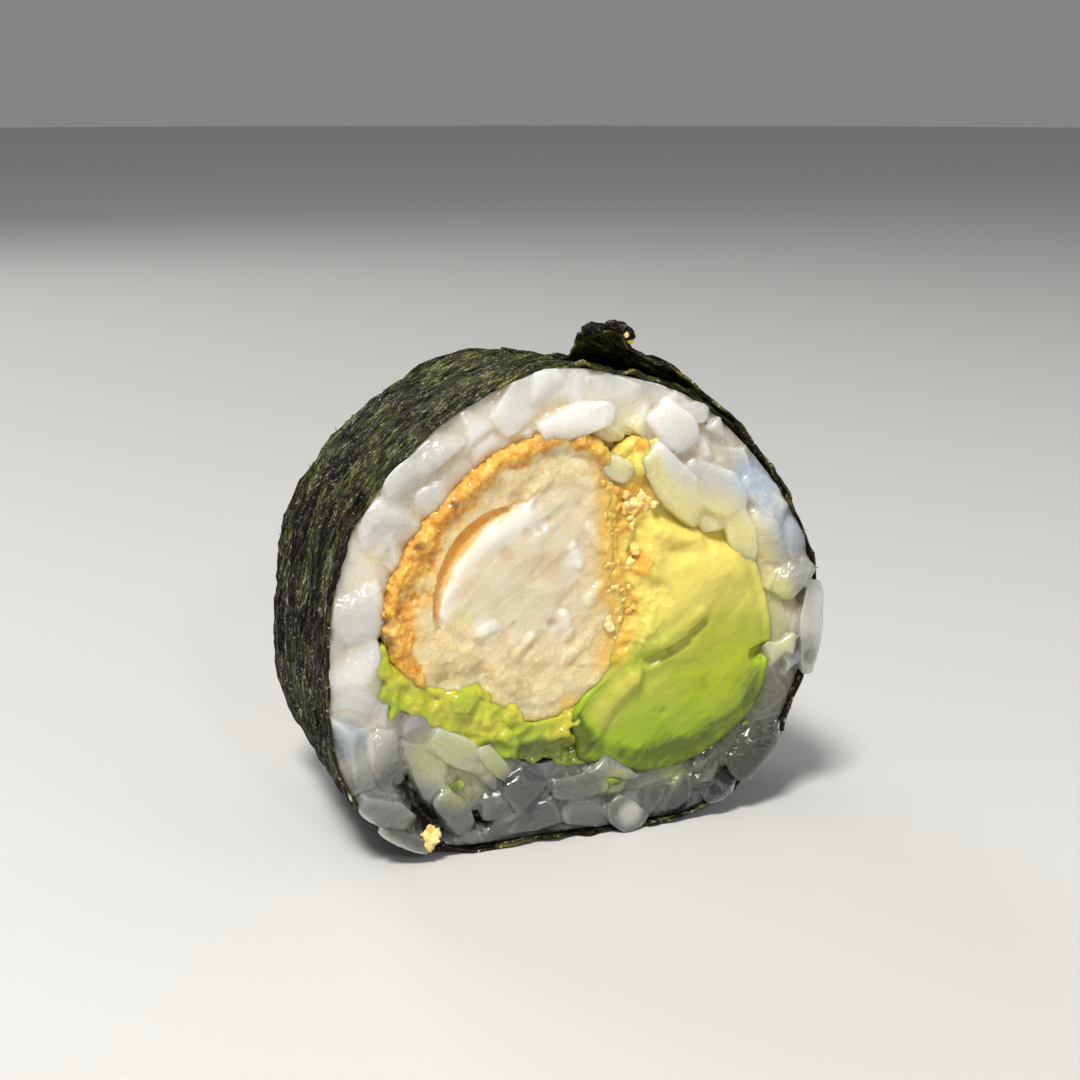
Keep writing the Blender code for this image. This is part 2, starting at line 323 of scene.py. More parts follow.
class Finish:
    """A Principled material, with short ways to add what drives its colour and relief."""

    def __init__(self, name, **sockets):
        self.material = bpy.data.materials.new(name)
        self.material.use_nodes = True
        self.tree = self.material.node_tree
        self.shader = self.tree.nodes["Principled BSDF"]
        for socket, value in sockets.items():
            self.shader.inputs[socket.replace("_", " ")].default_value = value

    def node(self, kind, **settings):
        made = self.tree.nodes.new("ShaderNode" + kind)
        for name, value in settings.items():
            setattr(made, name, value)
        return made

    def join(self, source, target):
        """Puts a node's output, a number or a colour into an input."""
        if isinstance(source, bpy.types.NodeSocket):
            self.tree.links.new(source, target)
        elif hasattr(source, "__len__") and len(source) == 3 and target.type == "RGBA":
            target.default_value = (*source, 1.0)
        else:
            target.default_value = source

    def place(self, scale=(1.0, 1.0, 1.0), turn=0.0, sheet=None):
        """Coordinates in millimetres, turned in the cut face or in the sheet, then stretched."""
        upright = self.node("Mapping")
        if sheet:
            self.join(self.node("TexCoord").outputs["UV"], upright.inputs["Vector"])
            upright.inputs["Rotation"].default_value = (0.0, 0.0, turn)
            upright.inputs["Scale"].default_value = (*sheet, 1.0)
        else:
            self.join(self.node("TexCoord").outputs["Object"], upright.inputs["Vector"])
            upright.inputs["Rotation"].default_value = (0.0, turn, 0.0)
            upright.inputs["Scale"].default_value = (1000.0, 1000.0, 1000.0)
        mapping = self.node("Mapping")
        mapping.inputs["Scale"].default_value = scale
        self.join(upright.outputs["Vector"], mapping.inputs["Vector"])
        return mapping.outputs["Vector"]

    def noise(self, where, size, detail=4.0, rough=0.55, twist=0.0):
        """Soft noise from 0 to 1, whose lumps are about this large in millimetres."""
        made = self.node("TexNoise")
        self.join(where, made.inputs["Vector"])
        self.join(1.0 / size, made.inputs["Scale"])
        self.join(detail, made.inputs["Detail"])
        self.join(rough, made.inputs["Roughness"])
        self.join(twist, made.inputs["Distortion"])
        return made.outputs["Fac"]

    def ramp(self, value, *stops):
        """Colours or greys by value. A stop is (place, colour) or (place, grey)."""
        made = self.node("ValToRGB")
        band = made.color_ramp
        while len(band.elements) < len(stops):
            band.elements.new(0.5)
        for element, (at, colour) in zip(band.elements, stops):
            element.position = at
            grey = not hasattr(colour, "__len__")
            element.color = (colour, colour, colour, 1.0) if grey else (*colour, 1.0)
        self.join(value, made.inputs["Fac"])
        return made.outputs["Color"]

    def mix(self, share, first, second):
        made = self.node("Mix", data_type="RGBA")
        self.join(share, made.inputs["Factor"])
        self.join(first, made.inputs[6])
        self.join(second, made.inputs[7])
        return made.outputs[2]

    def math(self, way, first, second):
        made = self.node("Math", operation=way)
        self.join(first, made.inputs[0])
        self.join(second, made.inputs[1])
        return made.outputs["Value"]

    def total(self, *values):
        """The sum of these values."""
        made = values[0]
        for value in values[1:]:
            made = self.math("ADD", made, value)
        return made

    def product(self, *values):
        """These values, multiplied."""
        made = values[0]
        for value in values[1:]:
            made = self.math("MULTIPLY", made, value)
        return made

    def fade(self, value, low, high, start=0.0, end=1.0):
        """A value's run from low to high, turned into a run from start to end."""
        made = self.node("MapRange", interpolation_type="SMOOTHSTEP")
        for number, target in zip((value, low, high, start, end), made.inputs):
            self.join(number, target)
        return made.outputs["Result"]

    def painted(self, layer):
        """A layer of shades that was painted on the piece's points."""
        return self.node("Attribute", attribute_name=layer).outputs["Fac"]

    def paint_over(self, base, *coats):
        """Mixes a colour over the base in each painted layer, from pairs of layer and colour."""
        for layer, colour in coats:
            base = self.mix(self.painted(layer), base, colour)
        return base

    def drive(self, **sockets):
        """Joins these to the shader's sockets."""
        for socket, source in sockets.items():
            self.join(source, self.shader.inputs[socket.replace("_", " ")])

    def bump(self, *heights):
        """Relief from pairs of a height from 0 to 1 and its depth in millimetres."""
        normal = None
        for height, depth in heights:
            made = self.node("Bump")
            self.join(height, made.inputs["Height"])
            self.join(depth * MM, made.inputs["Distance"])
            if normal is not None:
                self.join(normal, made.inputs["Normal"])
            normal = made.outputs["Normal"]
        self.drive(Normal=normal)


def paint(piece, **layers):
    """Stores one shade from 0 to 1 for each point of the piece, in each of these layers."""
    for layer, shades in layers.items():
        stored = piece.data.attributes.new(layer, "FLOAT", "POINT")
        stored.data.foreach_set("value", np.asarray(shades, np.float32))


def finish_piece(piece, finish, slot, *nodes):
    """Gives a piece its material and its body, and hides what it stands for. The slot is not used.
    """
    piece.data.materials.clear()
    piece.data.materials.append(finish.material)
    piece.data.shade_smooth()
    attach(piece, "root")
    if nodes:
        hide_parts(*nodes)


# ---------------------------------------------------------------- nori

NORI_AROUND, NORI_ALONG = 290, 158  # faces of the sheet's net
NORI_SHEET = (154.0, 23.0)  # the sheet's size, in millimetres
NORI_THICKNESS = 0.2
NORI_GAP = 0.3  # from the rice's side to the middle of the sheet
INNER_END, FREE_EDGE = 46.0, 448.0  # degrees round the roll
LAP_START, LAP_CLIMB = 388.0, 16.0  # where the outer layer climbs over the inner end
LIFT_PEAK, LIFT_END = 2.0, 7.5  # millimetres behind the near face
TEAR_SIZE = 5.2  # about how many degrees apart the tears in the sheet's edges are

# How far the outer layer stands off the roll at its near end, by degrees round the roll.
LIFT_TURNS = [408, 413, 419, 423, 427, 433, 437, 442, 446, 448]
LIFTS = [0.0, 0.05, 0.6, 1.1, 1.4, 1.5, 2.1, 2.8, 3.1, 2.6]


def nori_material(name, sheet):
    """Dried seaweed. A sheet is patterned along its net, and scraps by where they are."""
    nori = Finish(name, IOR=1.3, Specular_IOR_Level=0.32)
    wide = nori.place((0.6, 1.0, 1.0), 0.0, sheet)
    strands = nori.noise(
        nori.place((0.26, 1.0, 1.0), math.radians(5), sheet), 0.68, 4.0, 0.64, 1.4
    )
    threads = nori.noise(
        nori.place((0.2, 1.0, 1.0), math.radians(-14), sheet), 0.24, 3.0, 0.6, 1.2
    )
    patches = nori.noise(wide, 4.2, 4.0, 0.65)
    browned = nori.noise(nori.place((0.5, 1.0, 1.0), 0.3, sheet), 3.4, 3.0, 0.6)
    pits = nori.noise(nori.place(sheet=sheet), 0.4, 4.0, 0.7)

    dark = nori.ramp(strands, (0.40, (0.001, 0.001, 0.001)), (0.70, (0.024, 0.017, 0.008)))
    brown = nori.ramp(strands, (0.40, (0.003, 0.001, 0.001)), (0.64, (0.085, 0.040, 0.018)))
    green = nori.ramp(
        strands, (0.36, (0.003, 0.004, 0.001)), (0.50, (0.040, 0.047, 0.008)),
        (0.66, (0.21, 0.22, 0.045)),
    )
    thick = nori.mix(nori.fade(browned, 0.50, 0.62, 0.0, 0.8), dark, brown)
    thin = nori.total(nori.fade(patches, 0.46, 0.57), nori.painted("olive"))
    ground = nori.mix(nori.math("MINIMUM", thin, 1.0), thick, green)
    # Painted highlights: short pale lines and specks stand in for glints on the sheet's fibres.
    painted_glint_lines = nori.product(
        nori.fade(threads, 0.58, 0.64), nori.fade(strands, 0.52, 0.58),
        nori.fade(patches, 0.38, 0.55, 0.35, 1.0),
    )
    with_glint_lines = nori.mix(painted_glint_lines, ground, (0.52, 0.53, 0.40))
    painted_glint_specks = nori.product(
        nori.fade(nori.noise(wide, 0.16, 2.0, 0.5), 0.60, 0.66),
        nori.fade(strands, 0.44, 0.56, 0.15, 0.9), nori.fade(browned, 0.42, 0.54, 0.12, 1.0),
    )
    nori.drive(
        Base_Color=nori.mix(painted_glint_specks, with_glint_lines, (0.46, 0.47, 0.36)),
        Roughness=nori.fade(threads, 0.42, 0.60, 0.26, 0.10),
    )
    nori.bump((strands, 1.0), (threads, 0.4), (pits, 0.12))
    return nori


def crumple(piece, name, size, depth, coords="LOCAL", zone="", detail=2, level=0.5, guide=None):
    """Moves the skin in and out with soft noise."""
    soft = bpy.data.textures.new(name, "CLOUDS")
    soft.noise_scale = size
    soft.noise_depth = detail
    apply_modifier(
        piece, "DISPLACE", texture=soft, texture_coords=coords, texture_coords_object=guide,
        strength=depth * MM, mid_level=level, direction="NORMAL", vertex_group=zone,
    )


def stand_on_floor(piece):
    """Presses flat what would reach below the floor."""
    places = points_of(piece)
    places[:, 2] = np.maximum(places[:, 2], 0.0)
    set_points(piece, places)
    return places


def add_nori():
    """The sheet, once round the rice and over its own inner end, with a lifted, curled corner."""
    sheet = make(
        bpy.ops.mesh.primitive_grid_add, "nori_wrap",
        x_subdivisions=NORI_AROUND, y_subdivisions=NORI_ALONG, size=1.0, calc_uvs=True,
    )
    flat = points_of(sheet) * MM
    turn = INNER_END + (FREE_EDGE - INNER_END) * (flat[:, 0] + 0.5)
    along = flat[:, 1] + 0.5

    # the sheet's edges are torn by the knife
    near_tears = ripples(turn, np.zeros(len(turn)), 0.0, TEAR_SIZE)
    far_tears = ripples(turn, np.full(len(turn), 9 * TEAR_SIZE), 0.0, TEAR_SIZE)
    y = LENGTH * (along - 0.5)
    y = y - 0.45 * near_tears * (1 - smoothstep(0.0, 0.10, along))
    y = y + 0.45 * far_tears * smoothstep(0.90, 1.0, along)

    layer = (NORI_THICKNESS + 0.1) * smoothstep(LAP_START, LAP_START + LAP_CLIMB, turn)
    behind = y + LENGTH / 2
    over = np.where(
        behind < LIFT_PEAK,
        0.9 + 0.1 * smoothstep(0.0, LIFT_PEAK, behind),
        1 - smoothstep(LIFT_PEAK, LIFT_END, behind),
    )
    lift = np.interp(turn, LIFT_TURNS, LIFTS) * over
    # one small bump near the top
    knob = np.exp(-(((turn - 97.0) / 5.0) ** 2) - ((behind - 6.0) / 3.0) ** 2)
    far_curl = 0.05 * smoothstep(FREE_EDGE - 9.0, FREE_EDGE, turn) * smoothstep(12.0, 17.0, behind)
    turned = np.radians(turn)
    radius = nori_outline.at(turned) + NORI_GAP + layer + lift + far_curl + 0.3 * knob
    share = face_share(y)
    x = (ROLL_MIDDLE[0] + radius * np.cos(turned)) * share
    z = (ROLL_MIDDLE[1] + radius * np.sin(turned)) * share
    x += 0.3 * smoothstep(436.0, 446.0, turn) * (1 - smoothstep(1.0, 4.5, behind))
    set_points(sheet, np.column_stack([x, y, z]))

    corner = smoothstep(400.0, 440.0, turn) * (1 - smoothstep(8.0, 20.0, behind))
    tip = smoothstep(434.0, 446.0, turn) * (1 - smoothstep(1.5, 5.0, behind))
    frill = smoothstep(52.0, 60.0, turn) * (1 - smoothstep(92.0, 104.0, turn))
    frill = frill * (1 - smoothstep(0.3, 2.6, behind))
    weigh(sheet, "corner_zone", corner)
    weigh(sheet, "tip_zone", tip)
    weigh(sheet, "frill_zone", frill)
    crumple(sheet, "nori_waves", 4.6 * MM, 0.8)
    crumple(sheet, "nori_folds", 2.6 * MM, 1.0, zone="corner_zone", detail=1)
    crumple(sheet, "nori_curl", 0.9 * MM, 1.5, zone="tip_zone")
    crumple(sheet, "nori_frill", 1.5 * MM, 1.3, zone="frill_zone", detail=3)
    crumple(sheet, "nori_ridges", 0.055, 0.8, "UV", detail=3)
    crumple(sheet, "nori_threads", 0.02, 0.5, "UV")
    apply_modifier(sheet, "SOLIDIFY", thickness=NORI_THICKNESS * MM, offset=0.0)
    places = stand_on_floor(sheet)

    # the thickened sheet has its points twice, once for each side, so the shares are repeated
    both = 2 * len(turn)
    z = places[:, 2]
    # Painted light and shade: the sheet is greener towards the top, where light comes through it,
    # and darker low down.
    olive = 0.3 * smoothstep(30.0, 42.0, z) - 0.35 * (1 - smoothstep(14.0, 30.0, z))
    olive[:both] += 0.9 * np.tile(np.maximum(frill, knob), 2)
    # the lifted corner gets a painted olive glow on the side that is nearer to the roll's middle,
    # and painted shade on the other
    away = np.hypot(places[:both, 0] - ROLL_MIDDLE[0], places[:both, 2] - ROLL_MIDDLE[1])
    between = away.reshape(2, -1).mean(axis=0)
    olive[:both] += np.where(away < np.tile(between, 2), 0.6, -0.4) * np.tile(corner, 2)
    paint(sheet, olive=olive)
    finish_piece(sheet, nori_material("nori", NORI_SHEET), "nori", "nori_sheet")


nori_outline = Outline("rice", ROLL_MIDDLE, 240)
add_nori()


# Crumpled scraps of the corner's tip, as (x, z), size and how far they stand off the cut face.
SCRAPS = [
    ((1.4, 45.2), 0.8, 0.0), ((2.1, 45.5), 1.0, 0.2), ((3.0, 45.3), 1.1, 0.1),
    ((3.8, 44.8), 1.0, 0.1),
]


def cut_place(side, x, z, proud):
    """Where a place on the face is on this side's cut, in millimetres, and this far out of it."""
    share = face_share(side * LENGTH / 2)
    return x * share, side * (LENGTH / 2 + proud), z * share


def add_scraps():
    """The corner's crumpled tip, and the fibres that the knife left along the sheet's edges."""
    chance = random.Random(17)
    lumps = []
    for (x, z), size, proud in SCRAPS:
        lumps.append(make(
            bpy.ops.mesh.primitive_ico_sphere_add, "corner_lump",
            subdivisions=3, radius=0.5 * size * MM,
            location=[length * MM for length in cut_place(NEAR, x, z, proud)],
        ))
    tip = join(lumps, "corner_tip")
    remesh(tip, 0.12)
    crumple(tip, "scrap_folds", 1.3 * MM, 1.2, detail=1)
    crumple(tip, "scrap_creases", 0.5 * MM, 0.35, detail=1)

    fibres = []
    for side in (NEAR, FAR):
        for _ in range(40):
            turn = math.radians(chance.uniform(-60, 240))
            edge = nori_outline.place(turn, float(nori_outline.at(turn)) + NORI_GAP)
            x, y, z = cut_place(side, *edge, 0.15)
            fibres.append(make(
                bpy.ops.mesh.primitive_cone_add, "nori_fibre",
                vertices=5, radius1=0.05 * MM, radius2=0.01 * MM,
                depth=chance.uniform(0.4, 0.9) * MM,
                location=(x * MM, y * MM, max(z, 0.4) * MM),
                rotation=(
                    math.pi / 2 + chance.gauss(0, 0.9), chance.uniform(0, 6.28),
                    chance.gauss(0, 0.9),
                ),
            ))
    scraps = join([tip] + fibres, "nori_scraps")
    places = stand_on_floor(scraps)
    paint(scraps, olive=np.full(len(places), -0.5))
    finish_piece(scraps, nori_material("nori_scraps", None), "nori")


add_scraps()


# ---------------------------------------------------------------- shaping food


def stroke(piece, side, path, reach, by, wide=0.25):
    """Pulls a cut face out along a line, or pushes it in where by is negative."""
    x, z, depth = on_face(piece)
    y = points_of(piece)[:, 1]
    picked = (side * y > 0) & (depth < 1.6) & (off_path(x, z, path) < wide)
    with editing(piece, picked):
        if picked.any():
            bpy.ops.transform.translate(
                value=(0.0, side * by * MM, 0.0), use_proportional_edit=True,
                proportional_edit_falloff="SMOOTH", proportional_size=reach * MM,
            )


def refine_cut_faces(piece):
    """Gives both cut faces a finer net than the sides."""
    _, _, depth = on_face(piece)
    with editing(piece, depth < 0.7):
        bpy.ops.mesh.subdivide(number_cuts=1)


def roughen(piece, size, depth, zone="", turn=0.0, stretch=1.0, detail=2, level=0.5):
    """Crumples a piece. Stretched noise runs along this turn in the cut face."""
    guide = make(bpy.ops.object.empty_add, "guide", rotation=(0.0, -turn, 0.0))
    guide.scale = (stretch, stretch, 1.0)
    bpy.context.view_layer.update()
    name = piece.name + "_relief"
    crumple(piece, name, size * MM, depth, "OBJECT", zone, detail, level, guide)
    discard(guide)


def soften(piece, rounds):
    apply_modifier(piece, "SMOOTH", factor=0.5, iterations=rounds)


def fuse(pieces, name, voxel, rounds):
    """Joins pieces into one skin and softens where they meet."""
    fused = join(pieces, name)
    remesh(fused, voxel)
    soften(fused, rounds)
    return fused


def model_grain(name, taper, bow, seed, facets=0):
    """One pressed cooked grain, a millimetre long. Its long way is X, and one end is narrower.
    Its facets are the flats that the knife and its neighbours leave on it."""
    chance = random.Random(seed)
    grain = make(bpy.ops.mesh.primitive_cube_add, name, size=1.0 * MM)
    with editing(grain):
        bpy.ops.mesh.subdivide(number_cuts=2)
        bpy.ops.transform.tosphere(value=0.45)
    along = points_of(grain)[:, 0]
    with editing(grain, along > 0.3):
        bpy.ops.transform.resize(value=(1.0, taper, taper))
    with editing(grain, abs(along) < 0.3):
        bpy.ops.transform.translate(value=(0.0, 0.0, bow * MM))
    places = points_of(grain)
    places += [[chance.uniform(-0.07, 0.07) for _ in range(3)] for _ in places]
    set_points(grain, places)
    apply_modifier(grain, "SUBSURF", levels=2, render_levels=2)
    places = points_of(grain)
    for _ in range(facets):
        way = np.array([chance.gauss(0, 1.0), chance.gauss(0, 0.8), chance.gauss(0, 0.8)])
        way /= np.linalg.norm(way)
        over = np.maximum(places @ way - chance.uniform(0.31, 0.42), 0.0)
        places -= over[:, None] * way
    places /= np.abs(places).max(axis=0) * 2
    set_points(grain, places)
    return grain


def place_grain(kind, place, size, turn, lean=0.0, roll=0.0):
    """A copy of a grain at a place in millimetres. Turn is in the face, lean is out of it."""
    copy = bpy.data.objects.new(kind.name + "_copy", kind.data.copy())
    bpy.context.scene.collection.objects.link(copy)
    facing = Matrix.Rotation(-turn, 4, "Y") @ Matrix.Rotation(lean, 4, "Z")
    facing = facing @ Matrix.Rotation(roll, 4, "X")
    stretch = Matrix.Diagonal((*size, 1.0))
    copy.data.transform(Matrix.Translation(Vector(place) * MM) @ facing @ stretch)
    return copy


def place_lump(kind, side, lump, lean=0.0, roll=0.0):
    """A copy of a soft lump, from (x, z), length, width, turn in degrees and how proud it is."""
    (x, z), length, width, turn, proud = lump
    return place_grain(
        kind, cut_place(side, x, z, proud - 0.45 * width), (length, 0.9 * width, width),
        math.radians(turn), lean, roll,
    )


def spread_of(piece):
    """A grain's middle, and the matrix that turns the grain into a ball of radius 1 about it."""
    places = points_of(piece)
    middle = places.mean(axis=0)
    spans, ways = np.linalg.eigh(np.cov((places - middle).T))
    return middle, ways @ np.diag(1 / np.sqrt(3 * spans + 1e-9))


def off_grain(places, grain):
    """How far the places are from a grain's middle, squared, where 1 is at the grain's skin."""
    middle, spread = grain
    off = (places - middle) @ spread
    return np.einsum("ij,ij->i", off, off)


def paint_by_grain(piece, grains, shades):
    """Paints each point in its nearest grain's shade, and marks the seams between grains."""
    places = points_of(piece)
    nearest = np.full(len(places), 1e9)
    second = np.full(len(places), 1e9)
    tone = np.zeros(len(places))
    for grain, shade in zip(grains, shades):
        distance = off_grain(places, grain)
        closer = distance < nearest
        second = np.where(closer, nearest, np.minimum(second, distance))
        tone = np.where(closer, shade, tone)
        nearest = np.minimum(nearest, distance)
    gap = np.sqrt(second) - np.sqrt(nearest)
    paint(piece, tone=tone, seam=np.clip(1 - gap / 0.5, 0.0, 1.0))


# ---------------------------------------------------------------- rice

CUTLET_MIDDLE = (-6.0, 23.5)
WEDGE_MIDDLE = (8.5, 16.0)
RICE_VOXEL = 0.21
RICE_BED = 4.0  # how thick the fused rice behind each cut face is
RICE_SINK = 0.75  # how far that bed lies behind the cut
PROUDEST_RICE = 0.55  # what stands further out of the cut is pressed half way back to this

# The grains that lie on top at the near face: (x, z), length, width, turn in degrees, and how far
# each stands proud of the cut.
TOP_GRAINS = [
    ((-15.0, 34.1), 6.4, 3.8, 22, 0.5), ((-17.2, 30.4), 5.6, 4.4, 14, 0.7),
    ((-20.4, 23.4), 6.4, 4.4, 98, 0.4), ((-12.9, 36.5), 6.6, 3.0, 32, 0.2),
    ((-9.0, 37.8), 6.2, 3.8, 28, 0.4), ((-5.9, 39.6), 5.2, 3.6, 36, 0.3),
    ((-2.6, 41.0), 5.0, 3.0, 5, 0.5), ((-0.6, 40.8), 4.2, 3.0, -18, 0.2),
    ((-0.6, 37.8), 6.6, 2.6, 10, 0.6), ((2.6, 40.3), 6.0, 2.6, -14, 0.1),
    ((2.0, 37.4), 4.4, 3.0, -30, 0.2), ((5.2, 37.6), 4.6, 3.4, 70, 0.3),
    ((6.2, 40.0), 4.0, 2.4, -22, 0.0), ((8.6, 36.7), 4.6, 3.4, -52, 1.0),
    ((9.0, 38.9), 3.8, 1.8, -24, 0.2), ((10.4, 37.8), 2.6, 2.0, -10, 0.4),
    ((12.3, 36.3), 2.1, 1.6, -35, 0.7), ((8.7, 31.4), 8.2, 3.4, -53, 1.2),
    ((12.5, 30.9), 6.2, 3.9, -38, 1.0), ((14.9, 27.0), 6.6, 2.5, -74, 0.9),
    ((12.9, 28.6), 3.8, 2.8, 10, 0.3), ((15.3, 32.9), 5.2, 3.0, -58, 0.4),
    ((13.0, 33.5), 4.2, 3.0, -30, -0.2), ((17.3, 29.9), 4.8, 2.8, -52, 0.3),
    ((18.6, 28.2), 3.6, 2.4, -48, 0.3), ((17.9, 26.0), 6.4, 3.2, -36, 0.6),
    ((20.9, 25.2), 4.4, 2.6, -62, 0.3), ((20.6, 22.6), 5.0, 2.9, 46, 0.5),
    ((18.4, 22.2), 4.2, 2.8, 80, 0.0), ((22.1, 17.4), 8.0, 2.2, 88, 1.3),
    ((19.8, 18.4), 5.2, 2.8, 98, -0.2), ((20.7, 14.2), 3.6, 2.0, 24, 0.6),
    ((18.9, 11.3), 5.2, 2.8, 66, -0.3), ((17.0, 6.3), 6.2, 3.0, 46, 0.8),
    ((14.4, 6.8), 3.4, 2.4, 20, -0.3), ((12.2, 4.9), 4.8, 3.0, 76, 0.1),
    ((13.5, 2.8), 3.4, 2.6, 40, 0.3), ((9.6, 2.9), 4.8, 2.6, 42, 0.1),
    ((7.0, 4.6), 6.0, 2.2, 12, -0.2), ((4.3, 1.6), 4.4, 2.4, -38, 1.0),
    ((1.2, 2.2), 6.4, 2.6, -12, 0.5), ((-0.2, 5.0), 5.0, 2.2, -3, 0.7),
    ((2.6, 6.2), 5.2, 1.8, -16, 1.0), ((-5.4, 5.5), 4.0, 2.8, 28, 0.7),
    ((-8.2, 7.4), 5.2, 2.7, -50, 0.2), ((-7.2, 4.3), 4.6, 2.2, 12, 0.4),
    ((-3.6, 2.6), 6.8, 2.5, 4, 0.1), ((-11.9, 4.0), 4.9, 2.6, -60, 0.3),
    ((-13.8, 8.4), 7.6, 3.4, -68, 0.4), ((-15.0, 12.2), 6.2, 3.6, -58, -0.3),
    ((-17.8, 9.4), 5.6, 2.6, -78, 0.2), ((-20.7, 10.4), 9.2, 4.0, -80, 0.5),
    ((-20.6, 17.0), 8.6, 4.4, 92, 0.5), ((-18.0, 14.6), 6.6, 2.8, 84, 0.1),
    ((-17.9, 4.9), 5.4, 2.6, -30, 0.5), ((-16.6, 27.4), 4.6, 3.2, 60, -0.1),
    ((-20.2, 27.2), 3.0, 2.4, 50, -0.7), ((-12.9, 32.2), 4.2, 2.6, 30, 0.1),
    ((-4.6, 37.7), 4.4, 2.8, 60, 0.0), ((-8.0, 35.9), 4.6, 2.6, 24, -0.2),
    ((-11.6, 34.6), 4.0, 2.8, 20, -0.1), ((-21.8, 20.2), 3.6, 2.4, 85, 0.2),
    ((3.2, 33.4), 2.5, 2.0, -40, 0.9), ((18.6, 15.3), 2.8, 2.2, 30, 1.3),
    ((19.8, 15.9), 2.0, 1.9, 80, 1.3), ((-11.8, 8.2), 4.4, 2.4, -60, 0.1),
    ((-16.7, 2.3), 4.8, 1.8, -22, 1.2), ((-11.6, 9.9), 5.4, 2.6, -38, 0.8),
    ((-8.5, 8.5), 3.9, 1.3, -52, 1.3), ((-14.6, 12.0), 3.6, 2.2, -20, 0.5),
]

# Where the near face's rice has opened into holes, which the deep layer fills with painted shade: a
# line, its reach and its depth.
RICE_VOIDS = [
    ([(-16.7, 10.4), (-16.3, 8.8)], 0.8, 1.3), ([(-15.9, 7.2), (-14.9, 4.6)], 1.2, 2.0),
    ([(-14.3, 3.8), (-13.2, 2.2)], 1.4, 2.6), ([(-9.9, 2.7), (-9.2, 2.6)], 1.0, 2.2),
    ([(20.8, 20.9), (20.9, 19.9)], 1.1, 2.2), ([(-2.4, 3.8), (-1.2, 3.6)], 0.9, 1.4),
    ([(6.6, 38.6), (7.0, 38.0)], 0.8, 1.2), ([(15.4, 4.6), (14.8, 3.9)], 0.7, 1.4),
]

# Where the rice has painted shade or a colour of its own, as (x, z) and radius. Tan is painted
# shade in the creases, cool a painted bluish shade, clear and hazy a painted dark shade that also
# makes the rice look clearer; the pale low and milky spots have less of it, and green is avocado on
# the rice.
TAN_RICE = [
    ((-3.0, 38.6), 3.0), ((-16.8, 33.2), 1.6), ((-18.6, 27.6), 1.8), ((-5.2, 36.6), 2.2),
    ((-14.2, 31.0), 1.8), ((3.0, 35.6), 2.2), ((8.0, 30.6), 3.6), ((-19.0, 20.8), 1.6),
    ((7.0, 37.2), 1.4), ((15.0, 24.8), 2.2), ((-17.0, 26.0), 1.8), ((0.8, 36.2), 2.2),
]
COOL_RICE = [((16.8, 31.0), 4.6), ((19.8, 26.4), 3.6), ((-21.4, 12.0), 2.6)]
CLEAR_SHADE_RICE = [((20.8, 20.0), 3.0), ((18.0, 9.0), 8.0), ((22.0, 14.6), 1.6)]
HAZY_SHADE_RICE = [((-15.0, 33.0), 8.0), ((13.0, 32.0), 9.0), ((19.5, 26.0), 5.0), ((-21.5, 22.0), 5.0)]
PALE_LOW_RICE = [((-11.5, 9.5), 5.0), ((-20.8, 12.0), 5.0)]
MILKY_RICE = [((22.2, 18.8), 3.4), ((19.2, 15.6), 1.9), ((4.3, 1.8), 1.6)]
GREEN_RICE = [
    ((18.8, 15.4), 1.7), ((-8.5, 8.6), 2.4), ((-11.4, 10.4), 2.6), ((-13.6, 9.6), 3.6),
    ((-11.2, 6.6), 3.0), ((-7.6, 8.6), 2.2), ((3.0, 5.0), 2.0), ((9.0, 5.2), 2.0),
    ((19.0, 16.6), 2.4), ((-18.4, 16.6), 1.8), ((18.8, 20.4), 1.8),
]


def filler_grains(kinds, side, seed, count, depth):
    """Grains that lie at random all over the ring, this far behind the cut face."""
    chance = random.Random(seed)
    made = []
    while len(made) < count:
        turn = chance.uniform(0, 2 * math.pi)
        inner = float(rice_outline.at(turn, "inner"))
        outer = float(rice_outline.at(turn))
        length, width = chance.uniform(4.8, 7.4), chance.uniform(2.9, 4.0)
        if chance.random() > (outer - inner) / 12.0:
            continue
        away = inner + 0.7 + (outer - inner - 1.9) * chance.random()
        x, z = rice_outline.place(turn, away)
        if side == NEAR and min(off_path([x], [z], path)[0] for path, _, _ in RICE_VOIDS) < 1.9:
            continue
        along = turn + math.pi / 2 + chance.gauss(0, 0.6)
        place = cut_place(side, x, z, -depth - chance.uniform(-0.3, 0.3))
        size = (length, width * chance.uniform(0.8, 1.0), width)
        made.append(place_grain(
            chance.choice(kinds), place, size, along, chance.gauss(0, 0.15), chance.uniform(0, 6.28)
        ))
    return made


def rice_bed(side):
    """A short, slightly larger copy of the model's rice at one end, for grains to lie on."""
    bed = copy_of_node("rice", "rice_bed")
    face = side * LENGTH / 2 * MM
    with editing(bed):
        bpy.ops.transform.resize(
            value=(1.0, RICE_BED / LENGTH, 1.0), center_override=(0.0, face, 0.0)
        )
        bpy.ops.transform.translate(value=(0.0, -side * RICE_SINK * MM, 0.0))
    swell(bed, 0.35)
    remesh(bed, 0.4)
    if side == NEAR:
        for path, reach, deep in RICE_VOIDS:
            stroke(bed, side, path, reach, -deep, 0.4)
    return bed


